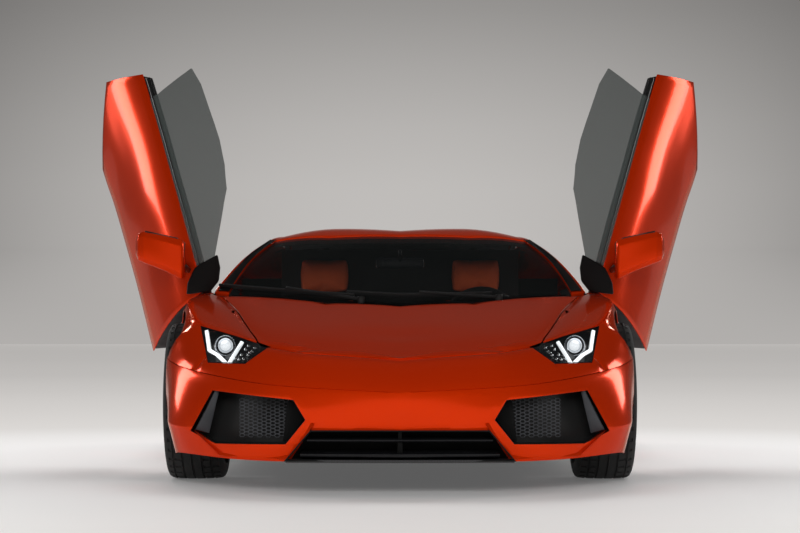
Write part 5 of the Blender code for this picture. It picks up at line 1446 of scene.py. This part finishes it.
@dataclass
class Wheel:
    """A treaded tyre on a ten-spoke rim with a vented disc."""

    axle: Axle
    radius: float
    width: float
    x: float
    wall_height: float = 0.0805
    spokes: int = 10
    bolts: int = 5
    bolt_circle: float = 0.045
    disc_holes: int = 24
    crown: float = 0.004
    groove_depth: float = 0.007
    groove_floor: float = 0.0035
    groove_mouth: float = 0.0045
    outer_relief: float = 0.012
    front_grooves: tuple[float, ...] = (0.0, 0.36, 0.70)
    rear_grooves: tuple[float, ...] = (0.0, 0.28, 0.54, 0.78)
    tyre_wall: Outline = (
        (0.006, 0.86), (0.012, 0.93), (0.022, 0.972), (0.030, 0.985), (0.045, 1.0), (0.060, 0.985),
        (0.064, 0.985), (0.066, 0.965), (0.074, 0.90), (0.0805, 0.80))
    spoke_sections: tuple[tuple[float, ...], ...] = (
        (0.16, 0.013, -0.006, 0.030), (0.40, 0.010, -0.020, 0.026), (0.70, 0.012, -0.014, 0.022),
        (0.90, 0.017, -0.002, 0.024), (1.0, 0.021, 0.004, 0.026))

    def centre(self) -> Matrix:
        """The wheel's place on the left."""
        y = CAR.front_axle_y if self.axle is Axle.FRONT else CAR.rear_axle_y
        return Matrix.Translation((self.x, y, self.radius))

    def tyre(self) -> BMesh:
        """A tyre with round grooves and cross cuts."""
        half = self.width / 2
        right: list[Point2] = []
        for groove in self.front_grooves if self.axle is Axle.FRONT else self.rear_grooves:
            at = groove * half * 0.86
            top = self.radius - 0.0004 - self.crown * groove ** 2
            floor = self.radius - self.groove_depth - self.crown * groove ** 2
            if groove:
                right.append((top, at - self.groove_mouth))
            right += [(floor, max(0.0, at - self.groove_floor)), (floor, at + self.groove_floor),
                      (top, at + self.groove_mouth)]
        right += [(self.radius - down, across * half) for down, across in self.tyre_wall]
        right += [(self.radius - self.wall_height + 0.004, 0.76 * half), (self.radius - 0.022, 0.90 * half)]
        left = [(r, -x) for r, x in reversed(right)]
        right = [(r, x - self.outer_relief if x > 0.85 * half else x) for r, x in right]
        profile = right + left
        bm = turned(profile, 120, self.centre())
        centre = self.centre().translation
        cut = []
        for face in bm.faces:
            mid = face.calc_center_median() - centre
            on_tread = math.hypot(mid.y, mid.z) > self.radius - self.groove_depth + 0.0005
            if on_tread and 0.30 * half < abs(mid.x) < 0.80 * half and face.calc_area() > 1e-4:
                step = int((math.degrees(math.atan2(mid.z, mid.y)) + 360) / 3)
                if step % 3 == 0:
                    cut.append(face)
        bmesh.ops.inset_individual(bm, faces=cut, thickness=0.004, depth=-0.005)
        return bm

    def rim(self) -> BMesh:
        """Barrel, spokes and hub."""
        outer = self.radius - self.wall_height - 0.0008
        bead = 0.78 * self.width / 2
        barrel = turned([
            (outer, -bead), (outer - 0.004, -bead * 0.9), (outer - 0.004, bead * 0.9), (outer, bead),
            (outer + 0.007, bead * 1.14), (outer + 0.004, bead * 1.17), (outer - 0.008, bead * 1.18),
            (outer - 0.013, bead * 1.12), (outer - 0.016, bead * 0.98), (outer - 0.030, bead * 0.55),
            (outer - 0.030, -bead * 0.8), (outer - 0.012, -bead)], 96, Matrix.Identity(4))
        face = self.width / 2 - 0.040
        parts = [barrel]
        reach = outer - 0.008
        for number in range(self.spokes):
            rings = []
            for share, half_wide, lift, thick in self.spoke_sections:
                z = reach * share
                rings.append([Vector((face + lift - thick, -half_wide, z)),
                              Vector((face + lift - thick, half_wide, z)),
                              Vector((face + lift, half_wide * 0.7, z)),
                              Vector((face + lift, -half_wide * 0.7, z))])
            spoke = swept(rings, 0.002)
            spin = Matrix.Rotation(2 * math.pi * number / self.spokes, 3, "X")
            bmesh.ops.rotate(spoke, matrix=spin, verts=spoke.verts)
            parts.append(spoke)
        hub = turned([(0.0, face - 0.004), (0.030, face - 0.005), (0.032, face - 0.012),
                      (0.056, face - 0.014),
                      (0.062, face - 0.020), (0.062, 0.0008), (0.0, 0.0008)], 48, Matrix.Identity(4),
                      closed=False)
        parts.append(hub)
        for number in range(self.bolts):
            angle = 2 * math.pi * (number + 0.5) / self.bolts
            y, z = self.bolt_circle * math.cos(angle), self.bolt_circle * math.sin(angle)
            parts.append(rod((face - 0.016, y, z), (face - 0.004, y, z), 0.008, 6, bevel=0.001))
        bm = joined(*parts)
        bm.transform(self.centre())
        return bm

    def disc(self) -> BMesh:
        """A vented brake disc with its bell."""
        bm = turned([(0.185, -0.030), (0.185, -0.020), (0.181, -0.020), (0.181, -0.010), (0.185, -0.010),
                     (0.185, 0.0),
                     (0.110, 0.0), (0.104, 0.0), (0.100, -0.002), (0.100, -0.030)], 72, Matrix.Identity(4))
        bell = turned([(0.0, -0.0002), (0.099, -0.0002), (0.099, -0.028), (0.0, -0.028)], 48,
                      Matrix.Identity(4), closed=False)
        holes = []
        for number in range(self.disc_holes):
            angle = 2 * math.pi * number / self.disc_holes
            radius = 0.125 + 0.021 * (number % 3)
            y, z = radius * math.cos(angle), radius * math.sin(angle)
            holes.append((rod((-0.05, y, z), (0.02, y, z), 0.0042, 10), "DIFFERENCE"))
        bm = joined(carved(bm, *holes), bell)
        bm.transform(self.centre())
        return bm

    def build(self) -> None:
        """Makes both wheels of the axle."""
        axle = self.axle.value
        for side in Side:
            body = f"wheel_{axle}_{side.label}"
            fitted(f"tyre_tread_{axle}", self.tyre(), TYRE, side, body=body, slot="tyre",
                   replaces=[f"tyre_{axle}"], angle=40)
            fitted(f"rim_spokes_{axle}", self.rim(), RIM, side, body=body, slot="rim",
                   replaces=[f"rim_{axle}"])
            fitted(f"disc_vented_{axle}", self.disc(), IRON, side, body=body, slot="steel",
                   replaces=[f"brake_disc_{axle}"])


@dataclass
class Seat:
    """A one-piece sports seat: a black shell with orange pads."""

    x: float = 0.380
    half_width: float = 0.215
    voxel: float = 0.007
    core_shares: Outline = (
        (0.350, 0.147), (0.562, 0.147), (0.634, 0.700), (0.618, 0.720), (0.545, 0.240), (0.350, 0.230))
    bolster_shares: Outline = (
        (0.352, 0.150), (0.560, 0.150), (0.622, 0.620), (0.585, 0.640), (0.515, 0.330), (0.352, 0.315))
    cushion_shares: Outline = ((0.352, 0.262), (0.540, 0.222), (0.546, 0.268), (0.352, 0.312))
    back_shares: Outline = ((0.535, 0.285), (0.566, 0.285), (0.618, 0.690), (0.590, 0.700))
    head_shares: Outline = ((0.594, 0.735), (0.626, 0.735), (0.634, 0.865), (0.606, 0.875))

    def shell(self) -> BMesh:
        """The hard back and base."""
        bm = prism(side_view(self.core_shares), 0, self.x - self.half_width, self.x + self.half_width, 0.012)
        for edge in (-1, 1):
            middle = self.x + edge * (self.half_width + 0.008)
            bolster = prism(side_view(self.bolster_shares), 0, middle - 0.018, middle + 0.018, 0.010)
            bm = joined(bm, bolster)
        return bm

    def pad(self, points: Sequence[Point2], half_width: float, name: str) -> BMesh:
        """One soft pad from its side view.

        Args:
            points: its outline in shares.
            half_width: its half width.
            name: the passing object's name.

        Returns:
            The swollen pad's mesh.
        """
        bm = prism(side_view(points), 0, self.x - half_width, self.x + half_width, 0.014)
        mesh = bpy.data.meshes.new(name)
        bm.to_mesh(mesh)
        bm.free()
        made = bpy.data.objects.new(name, mesh)
        bpy.context.scene.collection.objects.link(made)
        remesh = made.modifiers.new("even", "REMESH")
        remesh.mode, remesh.voxel_size = "VOXEL", self.voxel
        inflate(made)
        result = bmesh.new()
        result.from_object(made, bpy.context.evaluated_depsgraph_get())
        bpy.data.objects.remove(made)
        bmesh.ops.smooth_vert(
            result, verts=result.verts, factor=0.5, use_axis_x=True, use_axis_y=True, use_axis_z=True)
        return result

    def build(self) -> None:
        """Makes both seats."""
        shell = self.shell()
        cushion = self.pad(self.cushion_shares, 0.165, "cushion")
        back = self.pad(self.back_shares, 0.165, "back")
        head = self.pad(self.head_shares, 0.115, "head")
        for side in Side:
            fitted("seat_shell", shell.copy(), BLACK_HIDE, side, slot="leather", replaces=["seat"])
            for name, bm, fill in (("seat_cushion", cushion, 0.6), ("seat_back", back, 0.6),
                                   ("seat_head", head, 0.7)):
                made = fitted(name, bm.copy(), ORANGE_HIDE, side, slot="leather", angle=70)
        for bm in (shell, cushion, back, head):
            bm.free()


def inflate(made: bpy.types.Object, cap: float = 0.016, pressure: float = 4.0, frames: int = 20) -> None:
    """Swells a pad with a short cloth simulation.

    Args:
        made: the pad's object, whose mesh is replaced.
        cap: how far a point may move.
        pressure: the pressure inside the pad.
        frames: how long it swells.
    """
    graph = bpy.context.evaluated_depsgraph_get()
    mesh = bpy.data.meshes.new_from_object(made.evaluated_get(graph))
    made.modifiers.clear()
    made.data = mesh
    rest = [v.co.copy() for v in mesh.vertices]
    cloth = made.modifiers.new("swell", "CLOTH")
    cloth.settings.use_pressure = True
    cloth.settings.uniform_pressure_force = pressure
    cloth.settings.effector_weights.gravity = 0.0
    cloth.settings.quality = 4
    cloth.point_cache.frame_end = frames
    scene = bpy.context.scene
    for number in range(1, frames + 1):
        scene.frame_set(number)
    graph = bpy.context.evaluated_depsgraph_get()
    swollen = bpy.data.meshes.new_from_object(made.evaluated_get(graph))
    made.modifiers.clear()
    for vert, start in zip(swollen.vertices, rest):
        move = vert.co - start
        if move.length > cap:
            vert.co = start + move.normalized() * cap
    made.data = swollen
    scene.frame_set(1)


@dataclass
class Cabin:
    """Dashboard, steering wheel, console, mirror and rear wall."""

    dash_half_width: float = 0.675
    dash_shares: Outline = (
        (0.1555, 0.440), (0.262, 0.415), (0.292, 0.493), (0.286, 0.560), (0.262, 0.618), (0.225, 0.642),
        (0.1555, 0.632))
    hood_shares: Outline = ((0.225, 0.615), (0.296, 0.600), (0.290, 0.665), (0.232, 0.672))
    hood_reach: Point2 = (0.24, 0.52)
    hollow_shares: Outline = ((0.255, 0.606), (0.31, 0.60), (0.31, 0.660), (0.255, 0.660))
    hollow_reach: Point2 = (0.255, 0.505)
    console_shares: Outline = (
        (0.262, 0.330), (0.420, 0.330), (0.400, 0.400), (0.300, 0.520), (0.268, 0.520))
    console_half_width: float = 0.098
    vent_place_share: Point2 = (0.2865, 0.545)
    vent_across: tuple[float, ...] = (-0.56, -0.14, 0.14, 0.60)
    vent_section: Outline = (
        (0.030, -0.006), (0.034, 0.004), (0.030, 0.008), (0.026, 0.004), (0.024, -0.004))
    wheel_x: float = 0.380
    column_shares: tuple[Point2, Point2] = ((0.296, 0.493), (0.279, 0.599))
    wheel_radius: float = 0.170
    grip_radius: float = 0.015
    boss: Outline = (
        (0.0, 0.012), (0.030, 0.010), (0.046, 0.0), (0.050, -0.020), (0.034, -0.040), (0.0, -0.040))
    spoke_sections: Outline = ((0.030, 0.030), (0.100, 0.014), (0.165, 0.020))

    def dashboard(self) -> None:
        """A padded dash with a binnacle, vents and console."""
        top = prism(side_view(self.dash_shares), 0, -self.dash_half_width, self.dash_half_width, 0.018, 3)
        hood = prism(side_view(self.hood_shares), 0, *self.hood_reach, 0.014, 3)
        hollow = prism(side_view(self.hollow_shares), 0, *self.hollow_reach)
        hood = carved(hood, (hollow, "DIFFERENCE"))
        console = prism(side_view(self.console_shares), 0, -self.console_half_width, self.console_half_width,
                        0.012, 3)
        finished("dash_top", joined(top, hood, console), BLACK_HIDE,
                 replaces=["dashboard"])
        vents = []
        for x in self.vent_across:
            place = Matrix.Translation((x, *side_view([self.vent_place_share])[0]))
            vents.append(turned(self.vent_section, 6, place @ Matrix.Rotation(math.radians(90), 4, "Z")))
        finished("dash_vents", joined(*vents), STEEL)
        screen = block((0.270, -0.602, 0.695), (0.490, -0.598, 0.745), 0.001)
        finished("dash_dials", screen, PIANO)

    def steering(self) -> None:
        """A round wheel with three spokes on its column."""
        low, high = (Vector((self.wheel_x, *p)) for p in side_view(self.column_shares))
        up = (high - low).normalized()
        out = Vector((0, up.z, -up.y))
        foot = (low + high) / 2 + out * 0.0004
        centre = foot + out * 0.120
        turn = Matrix((out, Vector((1, 0, 0)).cross(out) * -1, Vector((1, 0, 0)))).transposed().to_4x4()
        place = Matrix.Translation(centre) @ turn
        ring = [(self.wheel_radius + self.grip_radius * math.cos(a), self.grip_radius * math.sin(a))
                for a in (math.pi * k / 6 for k in range(12))]
        rim = turned(ring, 72, place)
        boss = turned(self.boss, 36, place, closed=False)
        spokes = []
        for angle in (90, -90, 180):
            bar = swept([[Vector((-0.010, -w, z)), Vector((-0.010, w, z)), Vector((0.004, w * 0.8, z)),
                          Vector((0.004, -w * 0.8, z))] for z, w in self.spoke_sections], 0.002)
            bar.transform(place @ Matrix.Rotation(math.radians(angle), 4, "X"))
            spokes.append(bar)
        column = rod(foot, centre - out * 0.02, 0.034, 32, bevel=0.004)
        wheel = joined(rim, boss, *spokes, column)
        bmesh.ops.recalc_face_normals(wheel, faces=wheel.faces)
        finished("steering_rim", wheel, BLACK_HIDE, replaces=["steering_wheel"])

    def rear_wall(self) -> None:
        """The lined wall behind the seats."""
        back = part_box("seat_left")[1][1] + 0.012
        wall = block((-0.600, back, 0.330), (0.600, back + 0.010, 1.045), 0.004)
        finished("cabin_rear_wall", wall, BLACK_HIDE)

    def screen_mirror(self) -> None:
        """The inside mirror on its stalk under the header."""
        top = SKIN.at(INNER_TOP, 1.0, 8.55)
        head = block((-0.115, top.y + 0.050, top.z - 0.098), (0.115, top.y + 0.078, top.z - 0.048), 0.012, 3)
        stalk = rod((0, top.y + 0.010, top.z - 0.012), (0, top.y + 0.062, top.z - 0.065), 0.010, 16,
                    bevel=0.002)
        finished("inside_mirror", joined(head, stalk), PIANO)

    def build(self) -> None:
        """Makes the cabin's pieces."""
        self.dashboard()
        self.steering()
        self.screen_mirror()
        self.rear_wall()
        Seat().build()


@dataclass
class Cowl:
    """The black scuttle below the screen and its two wipers."""

    wipers: tuple[Triple, ...] = ((-0.815, -0.200, 0.57), (-0.235, 0.405, 0.55))
    steps: int = 12
    lean: Vector = Vector((0, -0.5, 0.9))

    def build(self) -> None:
        """Makes the scuttle and the wipers."""
        cells = [(OUTER_TOP, 6.4, 7.15), (INNER_TOP, 6.4, 7.15)]
        finished("scuttle", SKIN.panel(cells, 0.010, sink=0.024, centred=True), MATT,
                 replaces=["cowl"])
        parts = []
        for start, end, kink in self.wipers:
            path = []
            for k in range(self.steps + 1):
                x = start + (end - start) * k / self.steps
                spot = self.on_screen(abs(x), 7.10 + 0.10 * (1 - k / self.steps))
                path.append(spot * Vector((math.copysign(1, x), 1, 1)))
            blade = [p + Vector((0, -0.004, 0.012)) for p in path]
            parts.append(strip_bar(blade, 0.012, 0.016, self.lean, 0.002))
            pivot = path[-1] + Vector((0.03, -0.045, -0.006))
            joint = path[int(self.steps * kink)] + Vector((0, -0.006, 0.024))
            parts.append(strip_bar([pivot, joint], 0.016, 0.010, self.lean, 0.002))
            parts.append(rod(pivot - Vector((0, 0, 0.02)), pivot + Vector((0, 0, 0.012)), 0.015, 20,
                             bevel=0.002))
        finished("wiper_arms", joined(*parts), BLACK)

    def on_screen(self, x: float, u: float) -> Vector:
        """A point on the screen x from the middle at station u."""
        corner, rib, spine = SKIN.line("screen", u), SKIN.line("rib", u), SKIN.line("spine", u)
        if x > rib.x:
            return rib.lerp(corner, (x - rib.x) / (corner.x - rib.x))
        return spine.lerp(rib, x / rib.x)


@dataclass
class EngineDeck:
    """The slatted black lid over the engine."""

    slats: int = 5
    first_share: float = 0.14
    pitch_share: float = 0.155
    slot_share: float = 0.085
    stations: Point2 = (11.5, 15.0)
    slot_half_width: float = 0.30

    def slots(self) -> list[tuple[Vector, Vector]]:
        """The front and rear of each slot on the middle line."""
        start, end = self.stations
        shares = [self.first_share + number * self.pitch_share for number in range(self.slats)]
        return [(SKIN.line("spine", start + (end - start) * share),
                 SKIN.line("spine", start + (end - start) * (share + self.slot_share))) for share in shares]

    def build(self) -> None:
        """Makes the lid's frame and slats."""
        cells = [(OUTER_TOP, *self.stations), (INNER_TOP, *self.stations)]
        frame = SKIN.panel(cells, 0.008, inset=0.005, centred=True)
        half = self.slot_half_width
        rows, slats = [], []
        for front, rear in self.slots():
            rows.append((block((-half, front.y, 0.5), (half, rear.y, 1.3)), "DIFFERENCE"))
            slats.append(swept([[Vector((x, front.y - 0.010, front.z - 0.014)),
                                 Vector((x, rear.y + 0.012, rear.z - 0.040)),
                                 Vector((x, rear.y + 0.012, rear.z - 0.046)),
                                 Vector((x, front.y - 0.010, front.z - 0.020))]
                                for x in (-half - 0.01, half + 0.01)], 0.0015))
        frame = softened(carved(frame, *rows), 0.0012, 2, 35)
        finished("deck_frame", frame, PIANO, "engine_lid", replaces=["engine_lid"])
        finished("deck_slats", joined(*slats), CARBON, "engine_lid")


@dataclass
class Tail:
    """Rear lamps, mesh and pipes."""

    guide_rise: Point2 = (0.628, 0.680)
    mesh_cells: Point2 = (0.036, 0.021)
    mesh_low: Point2 = (-0.400, 0.300)
    mesh_high: Point2 = (0.405, 0.622)
    guide_start: float = 0.520
    guide_pitch: float = 0.115
    arrow: float = 0.040
    pipe_across: tuple[float, ...] = (-0.230, -0.110, 0.110, 0.230)
    pipe_z: float = 0.330
    bore_y: Point2 = (2.370, 2.3916)
    bore_radius: float = 0.0388
    rim_y: float = 2.3905
    rim_section: Outline = (
        (0.0458, -0.12), (0.0458, -0.008), (0.0490, -0.002), (0.0480, 0.003), (0.0420, 0.002),
        (0.0392, -0.003),
        (0.0392, -0.12))

    def lamp(self, side: Side, surface: Surface) -> None:
        """One rear lamp: red lens and three arrow-shaped guides."""
        lens = carved(SKIN.panel(TAIL_CELLS, 0.024, inset=0.0, sink=0.0015, crease=0.0),
                      (rear_hole(OUTLINES.tail, -0.0006), "INTERSECT"))
        fitted("tail_lens", softened(lens, 0.002, 2, 40), RED_LENS, side, slot="tail_lamp",
               replaces=["tail_lamp"])
        guides = []
        low, high = (share * CAR.height for share in self.guide_rise)
        middle = (low + high) / 2
        for number in range(3):
            x = self.guide_start + self.guide_pitch * number
            head = [(x + self.arrow, low + 0.012), (x, middle), (x + self.arrow, high - 0.010)]
            for points in (head, [(x, middle), (x - 0.045, middle + 0.004)]):
                guides.append(strip_bar([surface.at(*p, 0.0005) for p in points], 0.009, 0.008,
                                        Vector((0, 1, 0)), 0.002))
        fitted("tail_guides", joined(*guides), RED_LIGHT, side, slot="tail_lamp")

    def mesh(self, surface: Surface) -> None:
        """The comb mesh across the tail."""
        comb = Intake(mesh_low=self.mesh_low, mesh_high=self.mesh_high, pitch=self.mesh_cells).comb()
        for vert in comb.verts:
            vert.co.y += surface.at(vert.co.x, vert.co.z, -0.020).y
        finished("rear_mesh", comb, GREY)

    def pipes(self) -> None:
        """Four polished rims on the exhaust's tips, each closed just inside by a flat matt black cap: soot
        and painted shade standing in for the pipe's dark bore.
        """
        parts, soot_shade_caps = [], []
        start, end = self.bore_y
        for x in self.pipe_across:
            # each cap is partly soot and partly painted shade: a flat black disc just inside the rim in place
            # of the pipe's depth
            soot_shade_caps.append(rod((x, start, self.pipe_z), (x, end, self.pipe_z), self.bore_radius, 36))
            place = Matrix.Translation((x, self.rim_y, self.pipe_z)) @ Matrix.Rotation(math.radians(90), 4,
                                                                                       "Z")
            parts.append(turned(self.rim_section, 48, place))
        finished("exhaust_rims", joined(*parts), STEEL)
        finished("exhaust_bores", joined(*soot_shade_caps), MATT)

    def build(self) -> None:
        """Makes the tail's pieces."""
        surface = Surface([(strip, 15, 17) for strip in (HEM, SIDE, FLANK)])
        for side in Side:
            self.lamp(side, surface)
        self.mesh(surface)
        self.pipes()


@dataclass
class Surroundings:
    """Floor, backdrop, lamps, world and camera."""

    reach: float = 400.0
    ambient: float = 0.20
    tint: Triple = (1.0, 0.965, 0.935)
    # painted light on the backdrop: its brightness by height, brightest just above the horizon
    dome_stops: Outline = (
        (0.0, 0.442), (0.02, 0.475), (0.048, 0.53), (0.076, 0.52), (0.1045, 0.468), (0.133, 0.392),
        (0.160, 0.312),
        (0.21, 0.20), (0.28, 0.07), (0.6, 0.03))
    # painted light on the far floor: its brightness by distance, falling off away from the car
    floor_stops: Outline = (
        (0.03, 0.69), (0.05, 0.67), (0.089, 0.62), (0.148, 0.558), (0.26, 0.491), (0.55, 0.456), (1.0, 0.442))
    floor_fade: Point2 = (2.4, 4.6)
    sensor: float = 36.0
    image_width: float = 800.0
    focal_pixels: float = 2115.0
    camera_place: Triple = (0.0, -10.30, 0.5825)
    camera_pitch: float = 92.02

    def seen(self, graph: Graph) -> Sock:
        """One for the rays that show the background as such, none for those that light the car."""
        ray = [graph.node("ShaderNodeLightPath", out=name)
               for name in ("Is Camera Ray", "Is Glossy Ray", "Is Transmission Ray")]
        return graph.node("ShaderNodeMath", {"operation": "MINIMUM"}, {0: ray[0] + ray[1] + ray[2], 1: 1.0})

    def tones(self, graph: Graph, share: Sock, stops: Sequence[Point2]) -> Sock:
        """Greys along a value, from pairs of place and brightness."""
        listed = [(place, (*(tone * part for part in self.tint), 1)) for place, tone in stops]
        return graph.node("ShaderNodeValToRGB", {"stops": listed}, {"Fac": share})

    def backdrop(self) -> None:
        """A dome, brighter behind the car: painted light in a band just above the horizon, and painted shade
        overhead and towards its sides.
        """
        graph = Graph("backdrop_paint")
        where = graph.place(1 / self.reach)
        x, z = (graph.node("ShaderNodeSeparateXYZ", None, {0: where}, axis) for axis in (0, 2))
        height = self.tones(graph, z, self.dome_stops)
        # painted shade: above the horizon the dome darkens towards its sides
        spread = x * x * graph.ramp(z, 0.0, 0.045) * 10.0
        away = graph.node("ShaderNodeMath", {"operation": "MINIMUM"}, {0: spread, 1: 0.7})
        picture = graph.mix(away, height, (0.0, 0.0, 0.0))
        graph.set(Base_Color=(0.0, 0.0, 0.0), Roughness=1.0, Specular_IOR_Level=0.0,
                  Emission_Color=graph.mix(self.seen(graph), (self.ambient,) * 3, picture),
                  Emission_Strength=1.0)
        bm = bmesh.new()
        bmesh.ops.create_uvsphere(bm, u_segments=96, v_segments=48, radius=self.reach)
        bmesh.ops.reverse_faces(bm, faces=bm.faces)
        self.staged("studio_backdrop", bm, graph.material)

    def floor(self) -> None:
        """A pale floor that fades into the backdrop far away; far off, its brightness is painted light that
        falls off with distance.
        """
        graph = Graph("floor_paint")
        spot = graph.place()
        distance = graph.node("ShaderNodeVectorMath", {"operation": "LENGTH"}, {0: spot}, "Value")
        far = graph.ramp(distance, *self.floor_fade)
        # painted light: beyond the fade the floor takes no lamp light and glows for the camera, dimmer with
        # distance
        distant = self.tones(graph, distance * 0.01, self.floor_stops)
        seen = self.seen(graph)
        tone = graph.mix(graph.noise(0.6, 3.0) * 0.06, (0.84, 0.83, 0.82), (0.76, 0.75, 0.74))
        glow = graph.mix(seen, (self.ambient * 0.6,) * 3, distant)
        near = graph.mix(seen, (0.0, 0.0, 0.0), (0.10, 0.10, 0.10))
        graph.set(Base_Color=graph.mix(far, tone, (0.0, 0.0, 0.0)), Roughness=0.55, Specular_IOR_Level=0.25,
                  Emission_Color=graph.mix(far, near, glow), Emission_Strength=1.0)
        bm = bmesh.new()
        bmesh.ops.create_circle(bm, cap_ends=True, segments=96, radius=self.reach)
        self.staged("studio_floor", bm, graph.material)

    def staged(self, name: str, bm: BMesh, material: bpy.types.Material) -> None:
        """Puts up one piece of the studio."""
        mesh = bpy.data.meshes.new(name)
        bm.to_mesh(mesh)
        bm.free()
        mesh.shade_smooth()
        mesh.materials.append(material)
        made = bpy.data.objects.new(name, mesh)
        bpy.context.scene.collection.objects.link(made)

    def lamp(self, name: str, place: Sequence[float], aim: Sequence[float], size: Point2, power: float,
             mirrored: bool = True) -> None:
        """One soft rectangular lamp.

        Args:
            name: its name.
            place: where it stands.
            aim: the point that it shines at.
            size: its width and height.
            power: its power in watts.
            mirrored: whether the paint mirrors it.
        """
        data = bpy.data.lights.new(name, "AREA")
        data.shape, data.size, data.size_y, data.energy = "RECTANGLE", *size, power
        made = bpy.data.objects.new(name, data)
        bpy.context.scene.collection.objects.link(made)
        made.visible_glossy = mirrored
        made.location = place
        made.rotation_euler = (Vector(aim) - Vector(place)).to_track_quat("-Z", "Y").to_euler()

    def world(self) -> None:
        """Dark surroundings outside the dome."""
        world = bpy.data.worlds.new("studio")
        bpy.context.scene.world = world
        world.use_nodes = True
        back = world.node_tree.nodes["Background"]
        back.inputs["Color"].default_value = (0.3, 0.3, 0.3, 1)

    def camera(self) -> None:
        """The photograph's view."""
        data = bpy.data.cameras.new("photo_view")
        data.sensor_width = self.sensor
        data.lens = self.sensor * self.focal_pixels / self.image_width
        data.clip_end = 900
        made = bpy.data.objects.new("photo_view", data)
        bpy.context.scene.collection.objects.link(made)
        made.location = self.camera_place
        made.rotation_euler = (math.radians(self.camera_pitch), 0, 0)
        bpy.context.scene.camera = made

    def build(self) -> None:
        """Sets the studio."""
        self.backdrop()
        self.floor()
        self.world()
        self.lamp("front_box", (0, -9.6, 2.6), (0, -1.5, 0.5), (6.5, 1.6), 400, False)
        self.lamp("overhead", (0, 2.3, 5.5), (0, 0.6, 0), (3.0, 3.0), 190, False)
        for side in Side:
            x = side.value
            self.lamp(f"{side.label}_box", (6.2 * x, 1.9, 2.7), (0.9 * x, -0.9, 1.0), (1.3, 2.4), 85)
            self.lamp(f"{side.label}_rim", (3.6 * x, 6.0, 3.8), (0.8 * x, -1.2, 0.7), (1.6, 1.0), 60)
        self.camera()
        bpy.context.scene.view_settings.view_transform = "Standard"


CARRIED: dict[str, Finish] = {
    "tub": MATT, "rear_grille": MATT, "rear_diffuser": CARBON, "front_suspension": ALLOY,
    "rear_suspension": ALLOY, "knuckle_front_left": ALLOY, "knuckle_front_right": ALLOY, "engine": ALLOY,
    "exhaust": STEEL,
}


def main() -> None:
    """Builds the car's looks and its studio."""
    logging.basicConfig(level=logging.INFO, format="%(message)s")
    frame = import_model()
    for name, finish in CARRIED.items():
        node = frame["nodes"][name]
        node.data.materials.clear()
        node.data.materials.append(finish.material())
    Shell().build()
    for side in Side:
        Headlamp().build(side)
        Intake().build(side)
        Door().build(side)
    CentreDuct().build()
    Wheel(Axle.FRONT, CAR.front_radius, 0.255, CAR.front_wheel_x).build()
    Wheel(Axle.REAR, CAR.rear_radius, 0.335, CAR.rear_wheel_x).build()
    Cabin().build()
    Cowl().build()
    EngineDeck().build()
    Tail().build()
    Surroundings().build()


if __name__ == "__main__":
    main()
